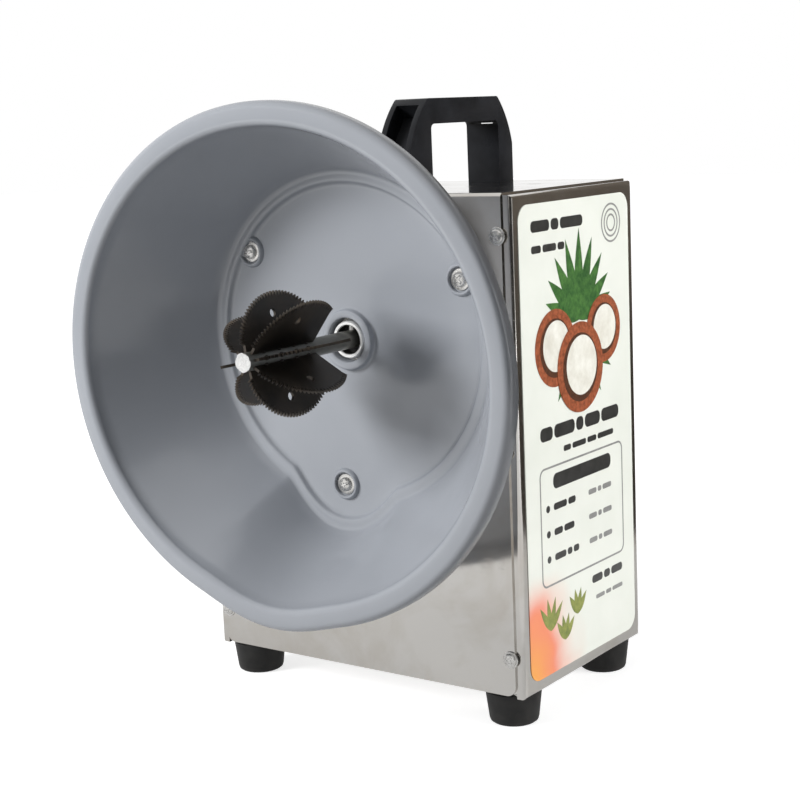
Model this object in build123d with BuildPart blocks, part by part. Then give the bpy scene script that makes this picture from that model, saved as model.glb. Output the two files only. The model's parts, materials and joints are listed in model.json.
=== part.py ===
from build123d import *
from math import cos, radians, sin
import os

os.makedirs("parts", exist_ok=True)

# Electric coconut grater: a sheet steel housing on four rubber feet, a moulded bowl
# on its front, and a toothed cutter that a motor turns inside the bowl.
# Millimetres, +Z up, the bowl looks towards -Y, the floor is z = 0.

# ---- shared sizes ----
FIT = 0.05             # radial play of a shaft or pin in its hole
GAP = 0.3              # play between pieces that stand apart
HOLE_PLAY = 0.2        # radial play of a screw in its hole
EPS = 0.5              # overrun of a cutting shape past a face

FOOT_H = 18.0
BODY_W = 216.0
BODY_D = 132.0
BODY_H = 270.0
SHEET = 1.2
FOLD_R = 2.5           # outer radius of a sheet fold
BOWL_DEPTH = 76.0
ROD_TIP = 95.0         # how far the cutter rod stands out of the front sheet
KNOB_H = 15.0          # how far the speed knob stands out of the rear panel
BODY_X = -6.5          # centre of the housing, beside the spindle axis

FRONT = ROD_TIP - (ROD_TIP + BODY_D + KNOB_H) / 2
BACK = FRONT + BODY_D
BOTTOM = FOOT_H
TOP = FOOT_H + BODY_H
AXIS_Z = TOP - 78.5      # the spindle hangs on the upper half of the front sheet

SIDE_X = BODY_W / 2                 # from the housing's centre to a side panel's outer face
SKIN_FRONT = FRONT + SHEET          # inner face of the front sheet
SKIN_BACK = BACK - SHEET            # inner face of the rear panel
SKIN_TOP = TOP - SHEET              # inner face of the top sheet


def facing_front(reach):
    """Plane on the spindle axis, looking out of the bowl, `reach` in front of the front sheet."""
    return Plane(origin=(0, FRONT - reach, AXIS_Z), x_dir=(1, 0, 0), z_dir=(0, -1, 0))


def facing_back(y, x=0.0, z=0.0):
    """Plane that looks to the rear at the place given."""
    return Plane(origin=(x, y, z), x_dir=(-1, 0, 0), z_dir=(0, 1, 0))


def spread(radius, count, first):
    """Places of a ring of holes on the spindle axis, in the plane of facing_front."""
    angles = [first + 360 / count * i for i in range(count)]
    return [(radius * cos(radians(a)), radius * sin(radians(a))) for a in angles]


def save(piece, label):
    piece.label = label
    export_step(piece, f"parts/{label}.step")


# ---- panel screws: places ----
PANEL_SCREW_X = SIDE_X - 8.0
PANEL_SCREW_R = 2.0
PANEL_SCREW_EDGE = 22.0  # from the housing's lower and upper edge to the outer screws
PANEL_SCREW_Z = [BOTTOM + PANEL_SCREW_EDGE, BOTTOM + BODY_H / 2, TOP - PANEL_SCREW_EDGE]
PANEL_SPOTS = [(BODY_X + side * PANEL_SCREW_X, z) for side in (-1, 1) for z in PANEL_SCREW_Z]
REAR_SPOTS = [(-x, z) for x, z in PANEL_SPOTS]     # the same places in facing_back
PANEL_HEAD_R = 4.4
PANEL_HEAD_H = 2.4
PANEL_SCREW_L = 9.0
DRIVE_W = 1.1          # width of one arm of the cross drive
DRIVE_DEPTH = 1.2

# ---- feet and their screws: places ----
FOOT_X = SIDE_X - 17.0
FOOT_INSET = 16.0
FOOT_SPOTS = [(BODY_X + sx * FOOT_X, y) for sx in (-1, 1) for y in (FRONT + FOOT_INSET, BACK - FOOT_INSET)]
FOOT_TOP_R = 15.5
FOOT_BASE_R = 13.2
FOOT_SCREW_R = 2.4
FOOT_BORE_R = 6.0      # counterbore that takes the screw head
FOOT_SEAT = 6.0        # rubber left above the counterbore
FOOT_HEAD_R = 4.6
FOOT_HEAD_H = 3.0
FOOT_NUT_W = 8.0
FOOT_NUT_H = 4.0
FOOT_CHAMFER = 1.2

# ---- handle: places ----
HANDLE_X = BODY_X + 20.0
HANDLE_W = 22.0
HANDLE_FRONT = FRONT + 24.0
HANDLE_BACK = BACK - 4.0
HANDLE_TALL = 49.5
HANDLE_LEG_FRONT = 20.5
HANDLE_LEG_BACK = 15.0
HANDLE_BAR = 14.0
HANDLE_SCREW_R = 2.5
HANDLE_SCREWS = [(HANDLE_X, HANDLE_FRONT + HANDLE_LEG_FRONT / 2),
                 (HANDLE_X, HANDLE_BACK - HANDLE_LEG_BACK / 2)]

# ---- bowl: places of its fixings ----
BOWL_TURN = -5.0       # the bowl's fixings and lobe sit a little off plumb
BOWL_SCREW_RING = 82.0
BOWL_SCREW_R = 2.5
BOWL_SPOTS = spread(BOWL_SCREW_RING, 3, -90 + BOWL_TURN)
BOWL_FLOOR = 6.0
BOWL_NUT_W = 8.0

# ---- spindle and its bearings: places ----
SPINDLE_R = 6.0
HUB_BORE_R = 11.5
CARRIER_R = 38.0
CARRIER_T = 7.0
CARRIER_BOSS_R = 20.0
CARRIER_BOSS_L = 15.0
CARRIER_SPOTS = spread(29.0, 4, 45)
CARRIER_SCREW_R = 2.0
CARRIER_HEAD_R = 3.8
CARRIER_HEAD_H = 2.2

# ---- rear controls: places ----
KNOB_X = 55.0
KNOB_Z = BOTTOM + 62.0
SWITCH_X = 5.0
SWITCH_Z = BOTTOM + 62.0
SWITCH_W = 15.0
SWITCH_H = 27.0
GLAND_X = -62.0
GLAND_Z = BOTTOM + 34.0
GLAND_NECK_R = 6.5
POT_NECK_R = 3.6

# ---- right and left side panels ----
# Each is a sheet with flanges folded in at the front, rear, top and bottom. The front
# flange shows as a narrow strip beside the front sheet.
NUT_REACH = BOWL_SCREW_RING * cos(radians(30 + BOWL_TURN)) + BOWL_NUT_W / 2 / cos(radians(30))
FLANGE = BODY_X + SIDE_X - NUT_REACH - 2 * GAP     # it ends beside the bowl's outermost nut
MITRE = 3.0


def side_panel(side):
    with BuildPart() as panel:
        width = SKIN_BACK - SKIN_FRONT
        height = SKIN_TOP - BOTTOM
        mid_y = (SKIN_FRONT + SKIN_BACK) / 2
        mid_z = (BOTTOM + SKIN_TOP) / 2
        with Locations((BODY_X + side * (SIDE_X - FLANGE / 2), mid_y, mid_z)):
            Box(FLANGE, width, height)
        folds = panel.faces().sort_by(Axis.X)[-1 if side > 0 else 0].edges()
        fillet(folds, FOLD_R)
        with Locations((BODY_X + side * (SIDE_X - SHEET - FLANGE / 2), mid_y, mid_z)):
            Box(FLANGE, width - 2 * SHEET, height - 2 * SHEET, mode=Mode.SUBTRACT)
        with Locations(*[(BODY_X + side * (SIDE_X - FLANGE), y, z)
                         for y in (SKIN_FRONT, SKIN_BACK) for z in (BOTTOM, SKIN_TOP)]):
            Box(2 * (FLANGE - FOLD_R - MITRE), 2 * MITRE, 2 * MITRE, mode=Mode.SUBTRACT)
        for y in (FRONT, BACK):
            with BuildSketch(Plane.XZ.offset(-y)):
                with Locations(*[s for s in PANEL_SPOTS if s[0] * side > 0]):
                    Circle(PANEL_SCREW_R + HOLE_PLAY)
            extrude(amount=2 * SHEET + EPS, both=True, mode=Mode.SUBTRACT)
        with BuildSketch(Plane.XY.offset(BOTTOM)):
            with Locations(*[s for s in FOOT_SPOTS if s[0] * side > 0]):
                Circle(FOOT_SCREW_R + HOLE_PLAY)
        extrude(amount=2 * SHEET, both=True, mode=Mode.SUBTRACT)
    return panel.part


right_panel = side_panel(1)
left_panel = side_panel(-1)

# ---- front and top sheet ----
# One sheet covers the front and folds back over the top. It leaves a strip of each
# side flange in sight.
WRAP_W = BODY_W - 2 * 5.5
WRAP_CORNER = 6.0

with BuildPart() as front_sheet:
    with BuildSketch(Plane.YZ.offset(BODY_X)):
        with BuildLine():
            Polyline((FRONT, BOTTOM + SHEET), (FRONT, TOP), (BACK, TOP), (BACK, TOP - SHEET),
                     (SKIN_FRONT, TOP - SHEET), (SKIN_FRONT, BOTTOM + SHEET), close=True)
        make_face()
    extrude(amount=WRAP_W / 2, both=True)
    outer_fold = front_sheet.edges().filter_by(Axis.X).sort_by(lambda e: (e.center().Y - e.center().Z))[0]
    fillet(outer_fold, FOLD_R)
    foot_corners = front_sheet.edges().filter_by(Axis.Y).group_by(Axis.Z)[0]
    fillet(foot_corners, WRAP_CORNER)
    with BuildSketch(Plane.XZ.offset(-FRONT)):
        with Locations(*PANEL_SPOTS):
            Circle(PANEL_SCREW_R + HOLE_PLAY)
        with Locations((0, AXIS_Z)):
            Circle(HUB_BORE_R)
        with Locations(*[(x, z + AXIS_Z) for x, z in BOWL_SPOTS]):
            Circle(BOWL_SCREW_R + HOLE_PLAY)
        with Locations(*[(x, z + AXIS_Z) for x, z in CARRIER_SPOTS]):
            Circle(CARRIER_SCREW_R + HOLE_PLAY)
    extrude(amount=2 * SHEET, both=True, mode=Mode.SUBTRACT)
    with BuildSketch(Plane.XY.offset(TOP)):
        with Locations(*HANDLE_SCREWS):
            Circle(HANDLE_SCREW_R + HOLE_PLAY)
    extrude(amount=2 * SHEET, both=True, mode=Mode.SUBTRACT)

# ---- rear panel ----
# A flat plate over the rear flanges. It has air slots behind the motor and the holes
# of the switch, speed control and cable gland.
REAR_W = BODY_W - 3.0
VENT_L = 46.0
VENT_W = 4.0
VENT_PITCH = 9.0
VENT_ROWS = 6

with BuildPart() as rear_panel:
    with BuildSketch(facing_back(SKIN_BACK)):
        with Locations((-BODY_X, (BOTTOM + SHEET + SKIN_TOP) / 2)):
            RectangleRounded(REAR_W, SKIN_TOP - BOTTOM - SHEET, 4)
        with Locations(*REAR_SPOTS):
            Circle(PANEL_SCREW_R + HOLE_PLAY, mode=Mode.SUBTRACT)
        with Locations((0, AXIS_Z)):
            with GridLocations(VENT_L + 10, VENT_PITCH, 2, VENT_ROWS):
                SlotOverall(VENT_L, VENT_W, mode=Mode.SUBTRACT)
        with Locations((-KNOB_X, KNOB_Z)):
            Circle(POT_NECK_R + HOLE_PLAY, mode=Mode.SUBTRACT)
        with Locations((-SWITCH_X, SWITCH_Z)):
            Rectangle(SWITCH_W + 2 * HOLE_PLAY, SWITCH_H + 2 * HOLE_PLAY, mode=Mode.SUBTRACT)
        with Locations((-GLAND_X, GLAND_Z)):
            Circle(GLAND_NECK_R + HOLE_PLAY, mode=Mode.SUBTRACT)
    extrude(amount=SHEET)

# ---- base plate ----
# It lies on the bottom flanges of the side panels and closes the housing from below.
BASE_CLEAR = 2.0
BOARD_SPOT = (28.0, FRONT + 62.0)
BOARD_W = 86.0
BOARD_D = 56.0
BOARD_HOLES = [(BOARD_SPOT[0] + sx * (BOARD_W / 2 - 5), BOARD_SPOT[1] + sy * (BOARD_D / 2 - 5))
               for sx in (-1, 1) for sy in (-1, 1)]
POST_SCREW_R = 1.5
BASE_LIP = 10.0

with BuildPart() as base_plate:
    with BuildSketch(Plane.XY.offset(BOTTOM + SHEET)):
        with Locations((BODY_X, (FRONT + BACK) / 2)):
            RectangleRounded(BODY_W - 2 * SHEET - 2 * BASE_CLEAR, BODY_D - 4 * SHEET - 2 * BASE_CLEAR, 3)
        with Locations(*FOOT_SPOTS):
            Circle(FOOT_SCREW_R + HOLE_PLAY, mode=Mode.SUBTRACT)
        with Locations(*BOARD_HOLES):
            Circle(POST_SCREW_R + HOLE_PLAY, mode=Mode.SUBTRACT)
    extrude(amount=SHEET)
    lip_y = BODY_D / 2 - 2 * SHEET - BASE_CLEAR
    with Locations(*[(BODY_X, (FRONT + BACK) / 2 + s * (lip_y - SHEET / 2), BOTTOM + SHEET + BASE_LIP / 2)
                     for s in (-1, 1)]):
        Box(BODY_W - 2 * FLANGE - 10, SHEET, BASE_LIP)

# ---- label on the right side ----
LABEL_T = 0.3
LABEL_MARGIN = 7.0
LABEL_CORNER = 9.0

with BuildPart() as side_label:
    with BuildSketch(Plane.YZ.offset(BODY_X + SIDE_X)):
        with Locations(((SKIN_FRONT + SKIN_BACK) / 2, (BOTTOM + TOP) / 2)):
            RectangleRounded(BODY_D - 2 * LABEL_MARGIN, BODY_H - 2 * LABEL_MARGIN, LABEL_CORNER)
    extrude(amount=LABEL_T)

# ---- handle ----
# A moulded bow handle, screwed down through its two feet. Each end is hollowed between
# two side walls, and a rounded lug stands inside the front leg.
HANDLE_SHOULDER = 22.0
HANDLE_SLOPE_FRONT = 18.0    # the top corner's distance from the front end
HANDLE_SLOPE_BACK = 15.0
HANDLE_WALL = 3.5
HANDLE_HOLLOW = 7.0
HANDLE_FOOT_T = 6.0
HANDLE_BOW = 1.6             # swell of each sloping end
HANDLE_EDGE = 3.0
HANDLE_LUG_R = 5.0
HANDLE_LUG_H = 18.0

HANDLE_ENDS = ((HANDLE_FRONT, 1, HANDLE_SLOPE_FRONT), (HANDLE_BACK, -1, HANDLE_SLOPE_BACK))

with BuildPart() as handle:
    side_on = Plane(origin=(HANDLE_X, 0, TOP), x_dir=(0, 1, 0), z_dir=(1, 0, 0))
    with BuildSketch(side_on):
        with BuildLine():
            Line((HANDLE_FRONT, 0), (HANDLE_BACK, 0))
            Line((HANDLE_FRONT + HANDLE_SLOPE_FRONT, HANDLE_TALL), (HANDLE_BACK - HANDLE_SLOPE_BACK, HANDLE_TALL))
            for end, way, slope in HANDLE_ENDS:
                shoulder = (end, HANDLE_SHOULDER)
                corner = (end + way * slope, HANDLE_TALL)
                swell = (end + way * (slope / 2 - HANDLE_BOW), (HANDLE_SHOULDER + HANDLE_TALL) / 2 + HANDLE_BOW)
                Line((end, 0), shoulder)
                ThreePointArc(shoulder, swell, corner)
        make_face()
    extrude(amount=HANDLE_W / 2, both=True)
    with BuildSketch(side_on):
        opening_front = HANDLE_FRONT + HANDLE_LEG_FRONT
        opening_back = HANDLE_BACK - HANDLE_LEG_BACK
        with Locations(((opening_front + opening_back) / 2, 0)):
            RectangleRounded(opening_back - opening_front, 2 * (HANDLE_TALL - HANDLE_BAR), HANDLE_EDGE)
    extrude(amount=HANDLE_W, both=True, mode=Mode.SUBTRACT)
    fillet(handle.edges().group_by(Axis.Z)[-1].filter_by(Axis.X), HANDLE_EDGE)
    for end, way, slope in HANDLE_ENDS:
        inner = end + way * HANDLE_HOLLOW
        outer = end - way * HANDLE_BOW
        with BuildSketch(side_on):
            with BuildLine():
                Polyline((outer, HANDLE_FOOT_T), (inner, HANDLE_FOOT_T), (inner, HANDLE_SHOULDER - HANDLE_BOW),
                         (inner + way * (slope - HANDLE_WALL), HANDLE_TALL - HANDLE_BAR + HANDLE_WALL),
                         (inner + way * (slope - HANDLE_HOLLOW - HANDLE_WALL), HANDLE_TALL - HANDLE_WALL),
                         (outer, HANDLE_TALL - HANDLE_WALL), close=True)
            make_face()
        extrude(amount=HANDLE_W / 2 - HANDLE_WALL, both=True, mode=Mode.SUBTRACT)
    with BuildSketch(side_on):
        with Locations((opening_front, (HANDLE_LUG_H - HANDLE_LUG_R) / 2)):
            Rectangle(2 * HANDLE_LUG_R, HANDLE_LUG_H - HANDLE_LUG_R)
        with Locations((opening_front, HANDLE_LUG_H - HANDLE_LUG_R)):
            Circle(HANDLE_LUG_R)
    extrude(amount=HANDLE_W / 2 - HANDLE_WALL, both=True)
    with BuildSketch(Plane.XY.offset(TOP)):
        with Locations(*HANDLE_SCREWS):
            Circle(HANDLE_SCREW_R)
    extrude(amount=HANDLE_FOOT_T + EPS, mode=Mode.SUBTRACT)

# ---- feet ----
with BuildPart() as feet:
    with Locations(*[(x, y, FOOT_H / 2) for x, y in FOOT_SPOTS]):
        Cone(FOOT_BASE_R, FOOT_TOP_R, FOOT_H)
    chamfer(feet.edges().group_by(Axis.Z)[0], FOOT_CHAMFER)
    with Locations(*[(x, y, FOOT_H / 2) for x, y in FOOT_SPOTS]):
        Cylinder(FOOT_SCREW_R + HOLE_PLAY, FOOT_H + 2 * EPS, mode=Mode.SUBTRACT)
    with Locations(*[(x, y, (FOOT_H - FOOT_SEAT) / 2) for x, y in FOOT_SPOTS]):
        Cylinder(FOOT_BORE_R, FOOT_H - FOOT_SEAT, mode=Mode.SUBTRACT)

# ---- fasteners ----
def cross_drive(depth_plane, spots, arm, depth):
    """Cross-shaped drive sunk into screw heads."""
    with BuildSketch(depth_plane) as arms:
        with Locations(*spots):
            Rectangle(2 * arm, DRIVE_W)
            Rectangle(DRIVE_W, 2 * arm)
    extrude(arms.sketch, amount=-depth, mode=Mode.SUBTRACT)


with BuildPart() as front_screws:
    with BuildSketch(Plane.XZ.offset(-FRONT)):
        with Locations(*PANEL_SPOTS):
            Circle(PANEL_HEAD_R)
    extrude(amount=PANEL_HEAD_H)
    chamfer(front_screws.edges().group_by(Axis.Y)[0], 1.3)
    with BuildSketch(Plane.XZ.offset(-FRONT)):
        with Locations(*PANEL_SPOTS):
            Circle(PANEL_SCREW_R)
    extrude(amount=-PANEL_SCREW_L)
    cross_drive(Plane.XZ.offset(-FRONT + PANEL_HEAD_H), PANEL_SPOTS, 2.4, DRIVE_DEPTH)

with BuildPart() as rear_screws:
    with BuildSketch(facing_back(BACK)):
        with Locations(*REAR_SPOTS):
            Circle(PANEL_HEAD_R)
    extrude(amount=PANEL_HEAD_H)
    chamfer(rear_screws.edges().group_by(Axis.Y)[-1], 1.3)
    with BuildSketch(facing_back(BACK)):
        with Locations(*REAR_SPOTS):
            Circle(PANEL_SCREW_R)
    extrude(amount=-PANEL_SCREW_L)
    cross_drive(facing_back(BACK + PANEL_HEAD_H), REAR_SPOTS, 2.4, DRIVE_DEPTH)

FOOT_SCREW_TOP = BOTTOM + 2 * SHEET + FOOT_NUT_H + 2
with BuildPart() as foot_screws:
    seat = FOOT_H - FOOT_SEAT
    with BuildSketch(Plane.XY.offset(seat)):
        with Locations(*FOOT_SPOTS):
            Circle(FOOT_HEAD_R)
    extrude(amount=-FOOT_HEAD_H)
    chamfer(foot_screws.edges().group_by(Axis.Z)[0], 1.2)
    with BuildSketch(Plane.XY.offset(seat)):
        with Locations(*FOOT_SPOTS):
            Circle(FOOT_SCREW_R)
    extrude(amount=FOOT_SCREW_TOP - seat)

with BuildPart() as foot_nuts:
    with BuildSketch(Plane.XY.offset(BOTTOM + 2 * SHEET)):
        with Locations(*FOOT_SPOTS):
            RegularPolygon(FOOT_NUT_W / 2, 6, major_radius=False)
            Circle(FOOT_SCREW_R + FIT, mode=Mode.SUBTRACT)
    extrude(amount=FOOT_NUT_H)

with BuildPart() as handle_screws:
    with BuildSketch(Plane.XY.offset(SKIN_TOP)):
        with Locations(*HANDLE_SCREWS):
            Circle(HANDLE_SCREW_R + 2)
    extrude(amount=-3)
    chamfer(handle_screws.edges().group_by(Axis.Z)[0], 1.2)
    with BuildSketch(Plane.XY.offset(SKIN_TOP)):
        with Locations(*HANDLE_SCREWS):
            Circle(HANDLE_SCREW_R - FIT)
    extrude(amount=SHEET + 5)

# ---- bowl ----
# A thick moulding with a rounded rim and a lobe at its foot. A raised ring stands
# round the spindle and one round each screw.
RIM_X = 146.0          # half width of the rim's outer edge
RIM_Z = 137.0          # half height, lobe apart
RIM_DROP = 7.0         # centre of the rim below the spindle
RIM_LOBE = 147.0       # reach of the lobe from the spindle
RIM_LOBE_R = 90.0
RIM_BLEND = 60.0
RIM_W = 13.0
RIM_T = 9.0
RIM_ROUND = 5.0        # radius of the rim's two front edges
RIM_STEPS = 3          # flats across each rounded edge
FLOOR_X = 86.5
FLOOR_Z = 85.5
FLOOR_LOBE = 101.0
FLOOR_LOBE_R = 32.0
FLOOR_BLEND = 24.0
RIDGE_OUT = 6.5        # the floor turns up into the wall over this width
RIDGE_UP = 2.5
BOWL_WALL = 3.5
HUB_R = 15.5
HUB_H = 3.5
SCREW_RING_R = 6.6
SCREW_RING_W = 1.8
SCREW_RING_H = 2.2


def bowl_section(depth, half_x, half_z, drop, lobe, lobe_r, blend, margin=0.0):
    """Outline of the bowl at one depth: an oval with a blended lobe, grown by margin."""
    turn = radians(-90 + BOWL_TURN)
    reach = lobe - lobe_r
    with BuildSketch(facing_front(depth)) as section:
        with Locations((0, -drop)):
            Ellipse(half_x + margin, half_z + margin)
        with Locations((reach * cos(turn), reach * sin(turn))):
            Circle(lobe_r + margin)
        fillet(section.vertices(), blend)
    return section.sketch


rim_size = (RIM_X, RIM_Z, RIM_DROP, RIM_LOBE, RIM_LOBE_R, RIM_BLEND)
floor_size = (FLOOR_X, FLOOR_Z, 0, FLOOR_LOBE, FLOOR_LOBE_R, FLOOR_BLEND)


def rim_rings(edge, way):
    """Outlines over one rounded front edge of the rim, from its side to its crest."""
    turns = [radians(90 * i / RIM_STEPS) for i in range(RIM_STEPS + 1)]
    side = BOWL_DEPTH - RIM_ROUND
    return [bowl_section(side + RIM_ROUND * sin(a), *rim_size, edge + way * RIM_ROUND * (1 - cos(a)))
            for a in turns]


with BuildPart() as bowl:
    foot_ring = bowl_section(0, *floor_size, BOWL_WALL)
    turn_ring = bowl_section(BOWL_FLOOR + RIDGE_UP - BOWL_WALL, *floor_size, RIDGE_OUT + BOWL_WALL)
    back_ring = bowl_section(BOWL_DEPTH - RIM_T, *rim_size, BOWL_WALL - RIM_W)
    outer_rings = rim_rings(0, -1)
    inner_rings = rim_rings(-RIM_W, 1)
    loft([foot_ring, turn_ring], ruled=True)
    loft([turn_ring, back_ring], ruled=True)
    extrude(bowl_section(BOWL_DEPTH - RIM_T, *rim_size), amount=RIM_T - RIM_ROUND)
    for low, high in zip(outer_rings, outer_rings[1:]):
        loft([low, high], ruled=True)
    floor_ring = bowl_section(BOWL_FLOOR, *floor_size)
    bend_ring = bowl_section(BOWL_FLOOR + RIDGE_UP, *floor_size, RIDGE_OUT)
    wall_rings = [floor_ring, bend_ring] + inner_rings
    for low, high in zip(wall_rings, wall_rings[1:]):
        loft([low, high], ruled=True, mode=Mode.SUBTRACT)

    with BuildSketch(facing_front(BOWL_FLOOR - EPS)):
        Circle(HUB_R)
    extrude(amount=HUB_H + EPS, taper=4)
    with BuildSketch(facing_front(BOWL_FLOOR - EPS)):
        with Locations(*BOWL_SPOTS):
            Circle(SCREW_RING_R + SCREW_RING_W)
    extrude(amount=SCREW_RING_H + EPS)
    with BuildSketch(facing_front(BOWL_FLOOR)):
        with Locations(*BOWL_SPOTS):
            Circle(SCREW_RING_R)
    extrude(amount=SCREW_RING_H + EPS, mode=Mode.SUBTRACT)
    with BuildSketch(facing_front(-EPS)):
        Circle(HUB_BORE_R)
        with Locations(*BOWL_SPOTS):
            Circle(BOWL_SCREW_R + HOLE_PLAY)
    extrude(amount=BOWL_DEPTH, mode=Mode.SUBTRACT)
    with BuildSketch(facing_front(0)):
        with Locations(*CARRIER_SPOTS):
            Circle(CARRIER_HEAD_R + GAP)
    extrude(amount=CARRIER_HEAD_H + GAP, mode=Mode.SUBTRACT)

# ---- bowl fixings ----
WASHER_R = 5.8
WASHER_T = 0.8
BOWL_HEAD_R = 4.4
BOWL_HEAD_H = 2.8
BOWL_NUT_H = 4.0

with BuildPart() as bowl_washers:
    with BuildSketch(facing_front(BOWL_FLOOR)):
        with Locations(*BOWL_SPOTS):
            Circle(WASHER_R)
            Circle(BOWL_SCREW_R + HOLE_PLAY, mode=Mode.SUBTRACT)
    extrude(amount=WASHER_T)

with BuildPart() as bowl_screws:
    under_head = BOWL_FLOOR + WASHER_T
    with BuildSketch(facing_front(under_head)):
        with Locations(*BOWL_SPOTS):
            Circle(BOWL_HEAD_R)
    extrude(amount=BOWL_HEAD_H)
    chamfer(bowl_screws.edges().group_by(Axis.Y)[0], 1.3)
    with BuildSketch(facing_front(under_head)):
        with Locations(*BOWL_SPOTS):
            Circle(BOWL_SCREW_R)
    extrude(amount=-(under_head + SHEET + BOWL_NUT_H + 2))
    cross_drive(facing_front(under_head + BOWL_HEAD_H), BOWL_SPOTS, 2.5, DRIVE_DEPTH)

with BuildPart() as bowl_nuts:
    with BuildSketch(facing_front(-SHEET)):
        with Locations(*BOWL_SPOTS):
            RegularPolygon(BOWL_NUT_W / 2, 6, major_radius=False)
            Circle(BOWL_SCREW_R + FIT, mode=Mode.SUBTRACT)
    extrude(amount=-BOWL_NUT_H)


def disc(near, far, radius, bore=0.0):
    """Ring round the spindle axis between two reaches from the front sheet."""
    with BuildSketch(facing_front(far)) as ring:
        Circle(radius)
        if bore:
            Circle(bore, mode=Mode.SUBTRACT)
    extrude(ring.sketch, amount=near - far)


def bore(near, far, radius):
    """Round hole on the spindle axis between two reaches from the front sheet."""
    with BuildSketch(facing_front(far)) as hole:
        Circle(radius)
    extrude(hole.sketch, amount=near - far, mode=Mode.SUBTRACT)


# ---- bearing carrier ----
# A turned flange behind the front sheet. It seats the front bearing and carries the motor.
CARRIER_FACE = -SHEET
CARRIER_BACK = CARRIER_FACE - CARRIER_T
BOSS_BACK = CARRIER_BACK - CARRIER_BOSS_L
FRONT_BEARING_R = 16.0
BEARING_T = 9.0
BEARING_INNER_R = 9.5
FRONT_BEARING = BOSS_BACK + 2.0

with BuildPart() as bearing_carrier:
    disc(CARRIER_FACE, CARRIER_BACK, CARRIER_R)
    disc(CARRIER_BACK, BOSS_BACK, CARRIER_BOSS_R)
    bore(CARRIER_FACE, BOSS_BACK, SPINDLE_R + 1)
    bore(FRONT_BEARING + BEARING_T, BOSS_BACK, FRONT_BEARING_R + FIT)
    with BuildSketch(facing_front(CARRIER_FACE)):
        with Locations(*CARRIER_SPOTS):
            Circle(CARRIER_SCREW_R + HOLE_PLAY)
    extrude(amount=-CARRIER_T, mode=Mode.SUBTRACT)

# ---- motor shell and end cap ----
CASE_R = 44.0
CASE_WALL = 2.5
CASE_FACE_T = 3.0
CASE_L = 96.0
CASE_BACK = CARRIER_BACK - CASE_L
CAP_T = 9.0
REAR_BEARING_R = 13.0
CAP_BACK = CASE_BACK - CAP_T
CAP_LEDGE = 2.0        # lip that holds the rear bearing
CAP_EDGE = 2.5
CASE_VENTS = 8
CASE_VENT_L = 14.0
CASE_VENT_W = 9.0
CASE_VENT_IN = 18.0    # from the case's front face to the middle of its air holes
CAP_VENTS = 6
CAP_VENT_L = 18.0
CAP_VENT_W = 7.0

with BuildPart() as motor_shell:
    disc(CARRIER_BACK, CASE_BACK, CASE_R)
    bore(CARRIER_BACK - CASE_FACE_T, CASE_BACK, CASE_R - CASE_WALL)
    bore(CARRIER_BACK, CASE_BACK, CARRIER_BOSS_R + FIT)
    with BuildSketch(facing_front(CARRIER_BACK)):
        with Locations(*CARRIER_SPOTS):
            Circle(CARRIER_SCREW_R + HOLE_PLAY)
    extrude(amount=-CASE_FACE_T, mode=Mode.SUBTRACT)
    with Locations(facing_front(CARRIER_BACK - CASE_VENT_IN)):
        with PolarLocations(CASE_R, CASE_VENTS):
            Box(3 * CASE_WALL, CASE_VENT_W, CASE_VENT_L, mode=Mode.SUBTRACT)

with BuildPart() as motor_cap:
    disc(CASE_BACK, CAP_BACK, CASE_R)
    bore(CASE_BACK, CAP_BACK + CAP_LEDGE, REAR_BEARING_R + FIT)
    bore(CASE_BACK, CAP_BACK, SPINDLE_R + 1)
    with BuildSketch(facing_front(CAP_BACK)):
        with PolarLocations((CASE_R + REAR_BEARING_R) / 2 + CAP_LEDGE, CAP_VENTS):
            SlotOverall(CAP_VENT_L, CAP_VENT_W, rotation=90)
    extrude(amount=CAP_T, mode=Mode.SUBTRACT)
    chamfer(motor_cap.edges().filter_by(GeomType.CIRCLE).group_by(Axis.Y)[-1].sort_by(SortBy.RADIUS)[-1], CAP_EDGE)

CARRIER_SCREW_L = SHEET + CARRIER_T + CASE_FACE_T + 2

with BuildPart() as carrier_screws:
    with BuildSketch(facing_front(0)):
        with Locations(*CARRIER_SPOTS):
            Circle(CARRIER_HEAD_R)
    extrude(amount=CARRIER_HEAD_H)
    chamfer(carrier_screws.edges().group_by(Axis.Y)[0], 1.0)
    with BuildSketch(facing_front(0)):
        with Locations(*CARRIER_SPOTS):
            Circle(CARRIER_SCREW_R)
    extrude(amount=-CARRIER_SCREW_L)

with BuildPart() as carrier_nuts:
    with BuildSketch(facing_front(CARRIER_BACK - CASE_FACE_T)):
        with Locations(*CARRIER_SPOTS):
            RegularPolygon(3.5, 6, major_radius=False)
            Circle(CARRIER_SCREW_R + FIT, mode=Mode.SUBTRACT)
    extrude(amount=-3)

# ---- bearings ----
# The inner ring turns with the spindle inside the shielded outer ring.
REAR_BEARING = CAP_BACK + CAP_LEDGE
REAR_BEARING_T = CAP_T - CAP_LEDGE


def bearing_outer(rear, thickness, radius):
    with BuildPart() as ring:
        disc(rear + thickness, rear, radius, BEARING_INNER_R + FIT)
    return ring.part


def bearing_inner(rear, thickness):
    with BuildPart() as ring:
        disc(rear + thickness, rear, BEARING_INNER_R, SPINDLE_R + FIT)
    return ring.part


front_bearing_outer = bearing_outer(FRONT_BEARING, BEARING_T, FRONT_BEARING_R)
front_bearing_inner = bearing_inner(FRONT_BEARING, BEARING_T)
rear_bearing_outer = bearing_outer(REAR_BEARING, REAR_BEARING_T, REAR_BEARING_R)
rear_bearing_inner = bearing_inner(REAR_BEARING, REAR_BEARING_T)

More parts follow.
